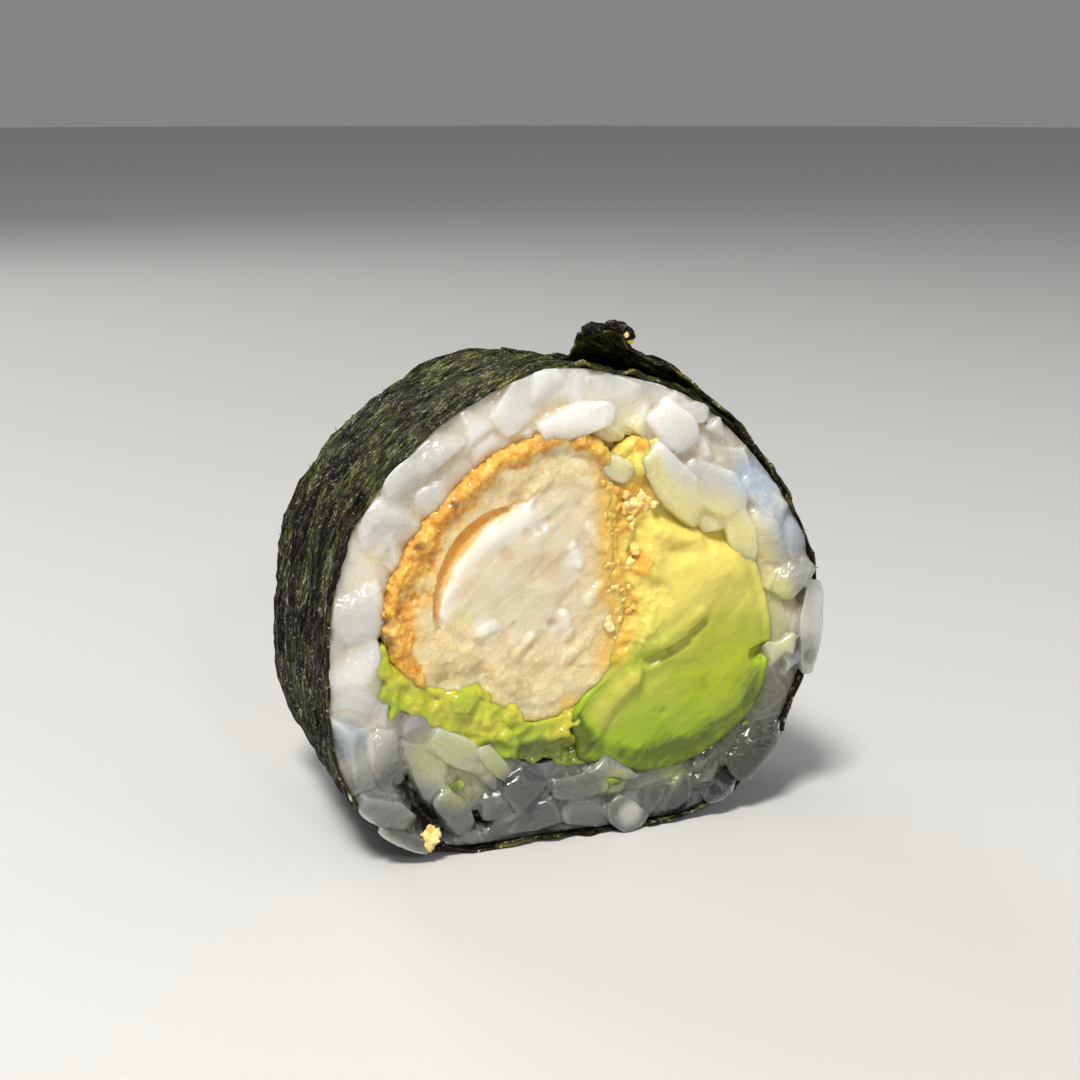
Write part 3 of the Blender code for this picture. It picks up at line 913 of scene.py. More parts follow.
def press_rice(piece, side):
    """Flattens what the knife would have caught, and presses the rim against the nori."""
    places = points_of(piece)
    out = side * places[:, 1] - LENGTH / 2
    out = np.minimum(out, PROUDEST_RICE) + 0.5 * np.maximum(out - PROUDEST_RICE, 0.0)
    places[:, 1] = side * (LENGTH / 2 + out)
    share = face_share(side * LENGTH / 2)
    x = places[:, 0] / share - ROLL_MIDDLE[0]
    z = places[:, 2] / share - ROLL_MIDDLE[1]
    turn, away = np.arctan2(z, x), np.hypot(x, z)
    limit = rice_outline.at(turn) + 0.02
    limit = limit + (0.7 if side == NEAR else 0.2) * smoothstep(0.0, 0.9, out)
    limit = limit - 0.7 * smoothstep(0.9, 2.2, -out)
    kept = np.minimum(away, limit)
    places[:, 0] = (ROLL_MIDDLE[0] + kept * np.cos(turn)) * share
    places[:, 2] = np.maximum((ROLL_MIDDLE[1] + kept * np.sin(turn)) * share, 0.15)
    set_points(piece, places)


def rice_material():
    """Cooked rice: milky where it is lit through, with painted shade that makes it clear-looking
    and greyer low down and at the right.
    """
    rice = Finish(
        "rice", Roughness=0.3, IOR=1.4, Subsurface_Weight=1.0, Subsurface_Scale=4.5 * MM,
        Specular_IOR_Level=0.9, Coat_Weight=0.6, Coat_Roughness=0.05, Coat_IOR=1.4,
        Subsurface_Radius=(1.0, 0.95, 0.85),
    )
    where = rice.place()
    tone, seam = rice.painted("tone"), rice.painted("seam")
    pale = rice.ramp(
        tone, (0.0, (0.56, 0.56, 0.52)), (0.5, (0.73, 0.715, 0.66)), (1.0, (0.85, 0.845, 0.81))
    )
    # Painted shade: the dark greys that the clear layer mixes in, where the rice stands in shade.
    clear_shade_colour = rice.ramp(
        tone, (0.0, (0.02, 0.024, 0.022)), (0.3, (0.095, 0.104, 0.098)), (1.0, (0.20, 0.21, 0.198))
    )
    clear = rice.paint_over(pale, ("cool", (0.41, 0.48, 0.57)), ("clear", clear_shade_colour))
    # Painted highlight: where the rice is painted dark, the grains are lighter along their edges.
    edge = rice.ramp(seam, (0.5, 0.0), (0.72, 0.09), (0.9, 0.03), (1.0, 0.0))
    edged = rice.mix(edge, clear, (0.66, 0.67, 0.65))
    milky = rice.math("SUBTRACT", 1.0, rice.painted("clear"))
    warmth = rice.product(rice.fade(rice.noise(where, 2.6, 3.0), 0.45, 0.72, 0.0, 0.35), milky)
    # Painted shade and light: tan in the sunken creases, and a warm glow by the crust.
    stained = rice.paint_over(
        rice.mix(warmth, edged, (0.62, 0.57, 0.43)),
        ("tan", (0.78, 0.62, 0.36)), ("yellow", (0.72, 0.62, 0.24)), ("glow", (0.78, 0.58, 0.32)),
    )
    green = rice.mix(rice.product(rice.painted("green"), 0.6), stained, (0.42, 0.45, 0.15))
    # Painted shade: the seams between grains are darker, near black where the rice is painted
    # clear.
    gap = rice.paint_over((0.64, 0.58, 0.45), ("clear", (0.05, 0.05, 0.045)))
    seams = rice.mix(rice.fade(seam, 0.75, 1.0, 0.0, 0.4), green, gap)
    wet = rice.noise(where, 2.4, 2.0)
    # The deep layer is painted shade, near black where the rice lies deep.
    rice.drive(
        Base_Color=rice.paint_over(seams, ("deep", (0.030, 0.020, 0.012))),
        Roughness=rice.fade(wet, 0.40, 0.56, 0.3, 0.12),
    )
    beads = rice.fade(rice.noise(where, 0.5, 1.0, 0.5), 0.45, 0.8)
    rice.bump((beads, 0.07), (wet, 0.12))
    return rice


def add_rice_face(name, side, grains, seed):
    """Fuses one end's grains and their bed, and paints what lies where."""
    chance = random.Random(seed)
    spreads = [spread_of(grain) for grain in grains]
    rice = fuse(grains + [rice_bed(side)], name, RICE_VOXEL, 2)
    roughen(rice, 3.0, 0.3)
    roughen(rice, 1.1, 0.16)
    press_rice(rice, side)
    shades = []
    for middle, _ in spreads:
        # Painted shade: grains towards the lower right corner get darker tones.
        corner = smoothstep(4.0, 12.0, middle[0]) * (1 - smoothstep(11.0, 18.0, middle[2]))
        shades.append(chance.uniform(0.15, 0.9) * (1 - 0.95 * corner))
    paint_by_grain(rice, spreads, shades)

    x, z, depth = on_face(rice)
    # Painted shade in the clear layer: the rice is darker and greyer low down, at the right and in
    # the clear and hazy spots, less so in the pale low and milky spots.
    low = (1 - smoothstep(7.0, 21.0, z)) * (1 - 0.3 * spots(x, z, PALE_LOW_RICE))
    right = 0.75 * smoothstep(11.0, 20.0, x) * (1 - smoothstep(21.0, 31.0, z))
    # Painted shade: a bluish grey on the rice in the cool spots.
    cool = spots(x, z, COOL_RICE)
    clear = np.maximum(np.maximum(low, right), 0.95 * spots(x, z, CLEAR_SHADE_RICE))
    clear = np.maximum(clear, 0.32 * (1 - cool) * spots(x, z, HAZY_SHADE_RICE))
    # Painted shade: tan in the sunken creases between grains.
    tan = smoothstep(-0.2, 0.5, depth) * np.maximum(0.85 * spots(x, z, TAN_RICE), 0.4 * (1 - low))
    by_wedge = 1 - smoothstep(0.1, 4.2, -wedge_outline.inside(x, z))
    by_crust = 1 - smoothstep(0.1, 1.5, -cutlet_outline.inside(x, z))
    green = np.maximum(spots(x, z, GREEN_RICE), 0.25 * by_wedge * (1 - smoothstep(10.0, 18.0, z)))
    paint(
        rice,
        # painted shade where the rice lies deep
        deep=smoothstep(1.3, 2.4, depth),
        clear=clear * (1 - 0.5 * spots(x, z, MILKY_RICE)),
        cool=cool,
        tan=tan * (1 - 0.8 * cool),
        yellow=0.9 * by_wedge * smoothstep(16.0, 22.0, z),
        # painted light: a warm glow in the rice next to the crust
        glow=0.6 * by_crust * smoothstep(18.0, 22.0, z),
        green=green,
    )
    return rice


def add_rice():
    """Grains pressed together at both ends, and a smaller copy of the model's rice between."""
    kinds = [
        model_grain("long_grain", 0.72, 0.05, 1, 5), model_grain("plump_grain", 0.9, -0.04, 2, 5),
        model_grain("bent_grain", 0.8, 0.12, 3, 5), model_grain("flat_grain", 0.95, 0.0, 4, 5),
    ]
    finish = rice_material()
    chance = random.Random(11)
    top = []
    for (x, z), length, width, turn, proud in TOP_GRAINS:
        thick = 0.88 * width
        top.append(place_grain(
            chance.choice(kinds), cut_place(NEAR, x, z, proud - 0.5 * thick),
            (1.13 * length, thick, 1.24 * width), math.radians(turn),
            chance.gauss(0, 0.08), chance.uniform(-0.3, 0.3),
        ))
    near = add_rice_face("rice_near_face", NEAR, top + filler_grains(kinds, NEAR, 5, 90, 2.1), 789)
    finish_piece(near, finish, "rice", "rice")
    grains = filler_grains(kinds, FAR, 23, 95, 0.9) + filler_grains(kinds, FAR, 29, 70, 1.5)
    far = add_rice_face("rice_far_face", FAR, grains, 4)
    finish_piece(far, finish, "rice")

    core = copy_of_node("rice", "rice_core")
    places = points_of(core)
    deep = LENGTH / 2 - RICE_BED
    places[:, 1] = np.clip(places[:, 1], -deep, deep)
    set_points(core, places)
    swell(core, -0.7)
    for layer in ("tone", "seam", "deep", "tan", "green", "clear", "cool", "yellow", "glow"):
        paint(core, **{layer: np.full(len(places), 0.3 if layer == "tone" else 0.0)})
    finish_piece(core, finish, "rice")
    discard(*kinds)


rice_outline = Outline("rice", ROLL_MIDDLE)
cutlet_outline = Outline("breadcrumb_coat", CUTLET_MIDDLE)
wedge_outline = Outline("avocado_wedge", WEDGE_MIDDLE)
add_rice()


# ---------------------------------------------------------------- breaded chicken

MEAT_MIDDLE = (-5.0, 23.5)
MEAT_GRAIN = math.radians(38)  # which way the meat's fibres run in the cut face
CREVICE_DEPTH = 0.8
CREVICE = [(-13.9, 22.6), (-13.2, 25.3), (-11.5, 27.6), (-10.0, 28.6), (-8.0, 29.6), (-6.0, 30.2)]

# How thick the browned crust is on the cut face, by turn in degrees about the cutlet's middle.
CRUST_TURNS = [-180, -165, -140, -120, -60, -30, 20, 50, 75, 100, 130, 160, 180]
CRUST_DEPTHS = [3.9, 3.6, 0.8, 0.2, 0.2, 0.3, 0.4, 1.2, 1.4, 1.8, 2.7, 3.5, 3.9]

# Lines along which the crust is clumped.
CRUST_CLUMPS = [
    [(-7.6, 35.1), (-6.5, 35.2)], [(-5.4, 35.2), (-4.6, 35.3)], [(-3.6, 35.9), (-2.2, 36.0)],
    [(-0.6, 35.5), (0.6, 35.2)], [(1.4, 34.9), (2.0, 34.2)], [(-9.4, 33.6), (-8.6, 34.2)],
    [(-12.4, 30.6), (-11.6, 31.2)], [(-14.4, 28.0), (-13.8, 28.8)], [(-17.6, 22.8), (-17.4, 24.0)],
    [(-16.8, 20.8), (-16.2, 19.6)], [(-10.8, 32.4), (-10.2, 32.8)], [(-16.4, 25.6), (-15.8, 26.2)],
]

# Where the cutlet is soaked with oil, burnt, browned or stained, and where its meat is white or
# tan, as (x, z) and radius.
SOAKED = [
    ((2.0, 28.6), 1.4), ((1.8, 22.6), 1.2), ((3.2, 30.4), 3.2), ((3.4, 18.4), 2.4),
    ((2.8, 25.4), 1.2), ((2.2, 33.2), 1.6), ((-1.2, 12.3), 1.8), ((3.6, 22.0), 1.6),
]
BURNT = [((-18.2, 19.9), 1.5), ((-14.9, 28.2), 0.6), ((-11.8, 31.4), 0.6), ((-18.0, 21.9), 0.7)]
BROWNED_BATTER = [((-12.4, 17.0), 2.0), ((-5.8, 14.6), 1.5)]
STAINED_MEAT = [((-11.2, 21.2), 1.5), ((1.0, 21.4), 1.0)]
WHITE_MEAT = [
    ((1.0, 22.3), 1.7), ((-2.0, 19.4), 1.6), ((-9.0, 20.2), 1.5), ((-4.2, 31.8), 2.0),
    ((-3.8, 17.0), 1.3), ((-6.0, 18.8), 1.3), ((-1.0, 26.0), 1.4), ((-4.6, 29.0), 1.8),
]
TAN_MEAT = [((-3.4, 25.4), 1.8), ((-3.0, 20.3), 0.6), ((-7.2, 26.8), 1.0)]

# Lines worked into the meat's cut face: points, reach and how far it comes out.
MEAT_LINES = [
    ([(-12.6, 23.6), (-9.6, 27.6), (-5.4, 30.2)], 2.0, 0.25),
    ([(-4.8, 24.6), (-3.5, 25.4), (-2.2, 26.2)], 1.2, -0.3), ([(-3.1, 20.2)], 0.5, -0.4),
    ([(-3.9, 19.2), (-5.4, 17.9)], 0.7, -0.25), ([(-2.0, 20.8), (-1.5, 19.0)], 0.9, 0.4),
    ([(0.4, 21.9), (1.4, 22.9)], 1.1, 0.4),
    ([(-13.3, 21.4), (-12.0, 20.2), (-10.8, 19.2)], 0.6, -0.5),
    ([(-5.2, 28.4), (-3.4, 29.3)], 0.6, -0.25), ([(-5.0, 31.2), (-3.4, 33.0)], 0.8, 0.35),
    ([(-4.6, 30.6), (-3.0, 32.2)], 0.6, -0.25), ([(-9.6, 20.0), (-8.4, 20.5)], 0.8, 0.3),
    ([(-9.9, 19.3), (-9.4, 18.9)], 0.5, -0.4), ([(-6.4, 17.6), (-5.0, 19.2)], 0.6, 0.3),
    ([(-0.6, 25.2), (-1.2, 26.8)], 0.8, 0.3), ([(-2.4, 22.0), (-0.6, 23.4)], 0.6, -0.25),
    ([(-4.2, 28.6), (-2.2, 30.2)], 0.5, -0.3), ([(-7.6, 19.2), (-6.6, 20.4)], 0.5, -0.2),
    ([(0.4, 28.4), (1.6, 26.6)], 0.8, 0.3), ([(-0.4, 30.4), (1.0, 29.4)], 0.7, -0.25),
    ([(-1.8, 16.6), (-0.4, 17.8)], 0.8, 0.3), ([(-4.4, 15.4), (-3.4, 16.6)], 0.7, -0.25),
]


def cutlet_material():
    """Fried crust, batter and meat in one finish: where each lies is painted on the piece."""
    food = Finish(
        "breaded_chicken", Roughness=0.4, IOR=1.45, Subsurface_Weight=0.95,
        Subsurface_Scale=1.8 * MM, Subsurface_Radius=(1.0, 0.75, 0.45),
        Coat_Weight=0.8, Coat_Roughness=0.07,
    )
    where = food.place()
    grains = food.noise(where, 0.36, 3.0, 0.65)
    grit = food.noise(where, 0.16, 2.0, 0.6)
    clumps = food.noise(where, 1.4, 3.0, 0.6)

    batter = food.ramp(clumps, (0.35, (0.70, 0.53, 0.25)), (0.65, (0.78, 0.66, 0.39)))
    speckled = food.mix(food.fade(grains, 0.56, 0.70, 0.0, 0.7), batter, (0.88, 0.79, 0.58))
    brown = food.paint_over(speckled, ("low", (0.68, 0.62, 0.36)), ("brown", (0.50, 0.36, 0.15)))
    # The pits layer darkens the crust where it lies deeper: painted shade.
    toast = food.total(
        food.product(clumps, 0.6), food.product(grains, 0.4),
        food.product(food.painted("crust"), 0.10), food.product(food.painted("pits"), 0.15),
    )
    gold = food.ramp(
        toast, (0.44, (0.82, 0.60, 0.26)), (0.54, (0.77, 0.46, 0.09)),
        (0.66, (0.72, 0.33, 0.035)), (0.84, (0.46, 0.16, 0.012)),
    )
    crusted = food.mix(food.fade(food.painted("crust"), 0.05, 0.75), brown, gold)

    fibres = food.noise(food.place((0.3, 1.0, 1.5), MEAT_GRAIN), 0.6, 4.0, 0.6)
    flesh = food.ramp(
        food.noise(where, 2.8, 3.0), (0.35, (0.65, 0.55, 0.37)), (0.65, (0.69, 0.61, 0.45))
    )
    streaked = food.mix(food.fade(fibres, 0.52, 0.7, 0.0, 0.4), flesh, (0.77, 0.72, 0.58))
    # The white layer is partly the meat's paler spots, partly painted highlight on the rim by the
    # crevice and along raised lines; the tan one is partly the meat's tan, partly painted shade in
    # pushed-in lines.
    meat = food.paint_over(
        streaked, ("white", (0.77, 0.75, 0.67)), ("tan", (0.60, 0.44, 0.26)),
        ("stain", (0.74, 0.67, 0.25)),
    )
    # The crevice colour is a painted warm shade inside the crevice; the burnt one is real burning
    # and painted shade on the crust's top.
    food.drive(
        Base_Color=food.paint_over(
            crusted, ("soaked", (0.78, 0.47, 0.07)), ("meat", meat),
            ("crevice", (0.86, 0.47, 0.06)), ("burnt", (0.14, 0.055, 0.01)),
        ),
        Roughness=food.fade(grains, 0.3, 0.7, 0.26, 0.52),
        Coat_Weight=food.math("SUBTRACT", 0.85, food.product(food.painted("crust"), 0.6)),
    )
    gritty = food.product(grit, food.math("SUBTRACT", 1.15, food.painted("meat")))
    food.bump((food.product(grains, 0.7), 0.14), (gritty, 0.10), (fibres, 0.07))
    return food


def sink(piece, shares, by):
    """Moves points back from the cut faces, each by its share."""
    places = points_of(piece)
    places[:, 1] -= np.sign(places[:, 1]) * shares * by
    set_points(piece, places)


def add_cutlet(finish):
    """Meat, batter and crust as one skin. They merge all round, except along the crevice where
    the meat has shrunk away. The coat's node is a ring, so a floor closes it behind the meat."""
    ring = copy_of_node("breadcrumb_coat", "coat_ring")
    floor = copy_of_node("chicken", "coat_floor")
    meat = copy_of_node("chicken", "meat")
    with editing(floor):
        bpy.ops.transform.resize(
            value=(1.14, 1.0, 1.14),
            center_override=(MEAT_MIDDLE[0] * MM, 0.0, MEAT_MIDDLE[1] * MM),
        )
    remesh(floor, 0.4)
    x, z, _ = on_face(floor)
    sink(floor, 1 - smoothstep(1.6, 3.4, off_path(x, z, CREVICE)), CREVICE_DEPTH)
    cutlet = fuse([ring, floor, meat], "breaded_chicken", 0.26, 3)
    refine_cut_faces(cutlet)
    soften(cutlet, 3)

    x, z, depth = on_face(cutlet)
    inside = cutlet_outline.inside(x, z)
    turn = np.degrees(np.arctan2(z - CUTLET_MIDDLE[1], x - CUTLET_MIDDLE[0]))
    band = np.interp(turn, CRUST_TURNS, CRUST_DEPTHS)
    wander = ripples(x, z, 0.0, 1.6)
    crust = 1 - smoothstep(0.3, 1.2, (inside + 1.1 * wander) / band)
    crust = crust * smoothstep(0.2, 0.9, band)
    crevice = off_path(x, z, CREVICE)
    in_meat = meat_outline.inside(x, z) + 0.6 * wander
    near_gap = 1 - smoothstep(1.2, 3.0, crevice)
    flesh = near_gap * smoothstep(-0.2, 0.3, in_meat)
    flesh = flesh + (1 - near_gap) * smoothstep(-0.6, 3.2, in_meat)
    faced = 1 - smoothstep(0.4, 1.2, depth)
    weigh(cutlet, "crust_zone", crust)
    weigh(cutlet, "batter_zone", (1 - crust) * faced * (1 - flesh) * smoothstep(0.8, 1.6, crevice))
    weigh(cutlet, "meat_zone", flesh * faced)
    weigh(cutlet, "rim_zone", 1 - smoothstep(0.3, 1.2, inside))
    swell(cutlet, 0.3, "rim_zone")
    roughen(cutlet, 1.5, 0.7, "crust_zone", level=0.45)
    roughen(cutlet, 0.5, 0.65, "crust_zone", detail=3)
    roughen(cutlet, 2.4, 0.35, "batter_zone", detail=1)
    roughen(cutlet, 0.6, 0.3, "batter_zone", detail=3)
    roughen(cutlet, 2.6, 0.14, "meat_zone", MEAT_GRAIN, 1.8)
    roughen(cutlet, 0.7, 0.1, "meat_zone", MEAT_GRAIN, 2.8, 3)
    for side in (NEAR, FAR):
        stroke(cutlet, side, [(-6.2, 31.4)], 0.8, -0.45)
        stroke(cutlet, side, [(-14.9, 15.2), (-10.0, 16.2), (-4.5, 11.2), (1.0, 13.2)], 1.3, -0.4)
        stroke(cutlet, side, [(-9.6, 33.4), (-3.0, 34.1), (0.8, 33.1)], 1.4, 0.2)
        for path in CRUST_CLUMPS:
            stroke(cutlet, side, path, 0.8, 0.4)
        # gentler than the lines say, since they are painted below as well
        for path, reach, by in MEAT_LINES:
            stroke(cutlet, side, path, 0.75 * reach, (0.75 if by > 0 else 0.35) * by, 0.2)

    x, z, depth = on_face(cutlet)
    by_wedge = (1 - smoothstep(0.5, 2.9 + 1.8 * wander, inside)) * smoothstep(-1.0, 1.5, x)
    by_wedge = by_wedge * smoothstep(13.0, 17.0, z)
    by_mash = (1 - smoothstep(0.0, 1.3 + wander, inside)) * (1 - smoothstep(15.0, 17.0, z))
    by_avocado = np.maximum(by_wedge, 0.6 * by_mash)
    # Painted shade: the crust on top is darkened a little, where the key light falls strongest.
    top_crust_shade = 0.2 * crust * spots(x, z, [((-2.0, 35.0), 5.0)])
    # Painted highlight: white along the crevice's rim and along raised lines, besides the meat's
    # own paler spots; pushed-in lines get painted shade in the tan layer.
    white = np.maximum(1 - smoothstep(0.5, 3.6, crevice), 0.7 * spots(x, z, WHITE_MEAT))
    tan = 0.7 * spots(x, z, TAN_MEAT)
    fine = ripples(x, z, 9.0, 0.55)
    # the first line is a broad bulge, which has no edge to show
    for path, reach, by in MEAT_LINES[1:]:
        off_line = off_path(x, z, path) + 0.3 * wander + 0.5 * fine
        line = 1 - smoothstep(0.1, 0.4 + 0.4 * reach, off_line)
        if by > 0:
            white = np.maximum(white, 0.9 * line)
        else:
            tan = np.maximum(tan, 0.5 * line)
    paint(
        cutlet,
        # painted shade in the crust's pits
        pits=crust * smoothstep(-0.1, 0.6, depth),
        crust=crust,
        meat=flesh,
        # painted shade: warm, inside the crevice
        crevice=smoothstep(0.2, 0.8, depth) * (1 - smoothstep(0.9, 1.7, crevice)),
        low=0.8 * (1 - smoothstep(11.5, 17.5, z)) * (1 - crust),
        brown=0.6 * spots(x, z, BROWNED_BATTER) * (wander > 0),
        soaked=np.maximum(0.85 * spots(x, z, SOAKED), 0.9 * by_avocado),
        # real burnt spots, and painted shade on the crust's top
        burnt=np.maximum(0.8 * spots(x, z, BURNT), top_crust_shade),
        white=white,
        tan=tan,
        stain=0.6 * spots(x, z, STAINED_MEAT),
    )
    finish_piece(cutlet, finish, "breadcrumb", "breadcrumb_coat", "chicken")


# Loose crumbs: (x, z), how far they are spread and how many. Those with the seam's spread lie
# along the border between the cutlet and the wedge, and are browner.
SEAM_SPREAD = 0.5
CRUMB_SPOTS = [
    ((4.9, 30.4), 0.9, 11), ((6.0, 30.0), 0.7, 7), ((4.2, 29.0), 0.9, 6), ((4.6, 25.4), 1.1, 8),
    ((4.9, 23.9), 1.0, 8), ((4.0, 21.8), 1.0, 6), ((3.0, 19.4), 0.8, 4), ((6.8, 35.2), 0.4, 3),
    ((2.7, 31.6), 0.5, 5), ((2.6, 29.6), 0.5, 6), ((2.7, 27.6), 0.5, 5), ((2.9, 25.2), 0.5, 6),
    ((3.3, 22.4), 0.5, 5), ((3.5, 20.2), 0.5, 5), ((3.4, 17.8), 0.4, 4), ((3.4, 44.9), 0.1, 1),
    ((-14.2, 2.6), 0.5, 9),
]


def model_crumb(name, seed):
    """One craggy crumb, a millimetre across."""
    chance = random.Random(seed)
    crumb = make(bpy.ops.mesh.primitive_cube_add, name, size=1.0 * MM)
    with editing(crumb):
        bpy.ops.mesh.subdivide(number_cuts=1)
        bpy.ops.transform.tosphere(value=0.5)
    places = points_of(crumb)
    places += [[chance.uniform(-0.16, 0.16) for _ in range(3)] for _ in places]
    set_points(crumb, places)
    return crumb


def crumb_material():
    """Loose crumbs, from pale to well browned."""
    crumb = Finish(
        "crumbs", IOR=1.45, Subsurface_Weight=0.5, Subsurface_Scale=0.5 * MM,
        Coat_Weight=0.4, Coat_Roughness=0.12,
    )
    fine = crumb.noise(crumb.place(), 0.25, 3.0, 0.6)
    toast = crumb.total(crumb.painted("tone"), crumb.fade(fine, 0.3, 0.7, -0.2, 0.2))
    crumb.drive(
        Base_Color=crumb.ramp(
            toast, (0.1, (0.90, 0.72, 0.34)), (0.45, (0.86, 0.55, 0.13)),
            (0.9, (0.66, 0.30, 0.035)),
        ),
        Roughness=crumb.fade(fine, 0.3, 0.7, 0.25, 0.5),
    )
    crumb.bump((fine, 0.08))
    return crumb


def crumb_clump(name, crumbs, side, finish):
    """Crumbs fused into one craggy crust, from (x, z), size, how proud and how brown."""
    chance = random.Random(name)
    kinds = [model_crumb("crumb_" + str(seed), seed) for seed in range(5)]
    made, shades = [], []
    for x, z, size, proud, shade in crumbs:
        spread = [size * chance.uniform(0.7, 1.3) for _ in range(3)]
        made.append(place_grain(
            chance.choice(kinds), cut_place(side, x, z, proud), spread,
            chance.uniform(0, 6.28), chance.uniform(0, 6.28), chance.uniform(0, 6.28),
        ))
        shades.append(shade)
    spreads = [spread_of(crumb) for crumb in made]
    clump = fuse(made, name, 0.12, 1)
    roughen(clump, 0.35, 0.25)
    paint_by_grain(clump, spreads, shades)
    finish_piece(clump, finish, "breadcrumb")
    discard(*kinds)


def add_crumbs(finish):
    """The crumbs that stand out of the crust on both cut faces, and those stuck to the avocado."""
    chance = random.Random(8)
    for side, word in ((NEAR, "near"), (FAR, "far")):
        crust, loose = [], []
        for _ in range(50):
            degrees = chance.uniform(42, 205)
            turn = math.radians(degrees)
            band = float(np.interp((degrees + 180) % 360 - 180, CRUST_TURNS, CRUST_DEPTHS))
            deep = min(band, 1.2) * chance.random() ** 1.4 - 0.1
            x, z = cutlet_outline.place(turn, float(cutlet_outline.at(turn)) - deep)
            crust.append((
                x, z, chance.uniform(0.25, 0.5), chance.uniform(-0.25, 0.05),
                chance.uniform(0.45, 1.0),
            ))
        for (x, z), spread, count in CRUMB_SPOTS:
            outside = z > 40 or z < 4  # on the curled corner or by the foot: the near side only
            in_seam = spread == SEAM_SPREAD and not outside
            for _ in range(0 if outside and side == FAR else count):
                loose.append((
                    x + chance.gauss(0, spread * 0.6), z + chance.gauss(0, spread * 0.6),
                    chance.uniform(0.35, 0.75), chance.uniform(-0.25, 0.08) + 0.7 * outside,
                    chance.uniform(0.0, 0.5) + 0.35 * in_seam,
                ))
        crumb_clump("crust_crumbs_" + word, crust, side, finish)
        crumb_clump("loose_crumbs_" + word, loose, side, finish)


meat_outline = Outline("chicken", MEAT_MIDDLE)
add_cutlet(cutlet_material())
add_crumbs(crumb_material())


# ---------------------------------------------------------------- avocado

WEDGE_GRAIN = math.radians(40)  # which way the wedge's streaks run in the cut face
BRUISE = [((12.5, 16.0), 6.0)]  # where the wedge is greener and duller, as (x, z) and radius

# Lines worked into the wedge's cut face: points, reach and how far it comes out.
WEDGE_LINES = [
    ([(7.5, 29.2), (10.0, 28.0), (12.0, 26.9), (13.9, 26.2)], 1.3, -0.9),
    ([(8.0, 27.4), (10.6, 26.6)], 1.6, 0.5), ([(8.6, 25.6), (11.5, 25.9)], 0.9, -0.4),
    ([(9.0, 23.6), (13.6, 23.6)], 3.2, 0.5), ([(5.6, 18.2), (8.8, 20.4)], 3.0, 0.6),
    ([(6.0, 16.0), (7.6, 16.7)], 0.6, -0.5), ([(8.2, 16.9), (9.3, 17.5)], 0.6, -0.4),
    ([(9.9, 18.2), (10.9, 19.0)], 0.5, -0.35), ([(6.8, 17.6), (8.5, 18.4), (10.6, 19.9)], 0.9, 0.3),
    ([(5.4, 14.4), (8.0, 15.2), (10.6, 15.0)], 0.8, -0.15),
    ([(1.0, 9.6), (2.0, 12.0), (4.4, 14.7)], 1.1, 0.4),
    ([(2.6, 9.4), (3.8, 11.8), (6.0, 13.9)], 1.2, -0.1),
    ([(3.4, 21.2), (4.4, 19.6), (4.3, 17.8), (5.0, 16.6)], 1.2, -0.25),
    ([(4.6, 14.6), (3.4, 16.6)], 1.0, 0.3), ([(12.0, 11.0), (15.5, 14.0)], 3.4, 0.5),
    ([(16.3, 15.3), (17.6, 15.6)], 0.8, -0.8), ([(7.4, 11.1)], 0.25, -0.15),
    ([(6.0, 24.6), (6.4, 27.4)], 1.6, 0.5), ([(4.6, 25.4), (5.2, 27.6)], 0.9, -0.5),
    ([(6.6, 22.6), (7.4, 21.9)], 0.9, -0.35), ([(5.0, 33.4)], 1.4, 0.4),
]

# Where frying oil has stained the avocado brown, and where the wedge is paler. The two lower pale
# spots paint the highlight along the wedge's lower-left ridge.
STAINED = [
    ((4.3, 30.6), 2.8), ((3.2, 28.2), 1.5), ((4.8, 24.8), 1.6), ((4.0, 21.3), 1.4),
    ((5.0, 35.4), 1.1),
]
PALE_WEDGE = [((1.9, 11.6), 2.6), ((3.2, 14.2), 2.4), ((3.4, 19.0), 3.0), ((3.6, 23.0), 3.2)]

# Soft lumps along the wedge's torn left side: (x, z), length, width, turn and how proud.
WEDGE_LUMPS = [
    ((5.1, 34.0), 3.0, 1.9, 84, 0.5), ((4.4, 31.6), 3.2, 2.4, 70, 0.1),
    ((4.2, 27.4), 3.6, 2.4, 100, 0.1), ((5.2, 26.0), 2.8, 2.2, 60, 0.3),
    ((4.2, 23.4), 3.2, 2.2, 80, 0.2), ((5.4, 22.0), 2.8, 2.2, 40, 0.3),
    ((4.5, 20.2), 3.0, 2.2, 80, 0.1), ((3.3, 16.6), 2.8, 1.6, 52, 0.2),
    ((2.3, 14.4), 2.8, 1.4, 60, 0.2), ((6.6, 27.8), 2.6, 1.8, 120, 0.3),
    ((6.2, 24.0), 2.4, 1.6, 30, 0.3), ((7.6, 26.2), 2.6, 1.6, -20, 0.2),
    ((3.5, 24.6), 4.6, 2.2, 88, 0.2), ((3.1, 27.4), 4.4, 2.2, 95, 0.1),
    ((3.0, 30.4), 4.2, 2.0, 80, 0.1), ((4.3, 21.6), 4.6, 2.2, 85, 0.3),
    ((4.0, 18.6), 4.2, 2.0, 70, 0.2), ((7.3, 19.2), 6.6, 3.4, 28, 0.5),
    ((7.0, 17.6), 4.6, 1.5, 27, 0.5), ((9.8, 19.2), 3.0, 1.2, 32, 0.3),
    ((4.6, 18.6), 3.6, 2.6, 60, 0.4), ((4.0, 15.6), 2.6, 1.4, 40, 0.3),
]


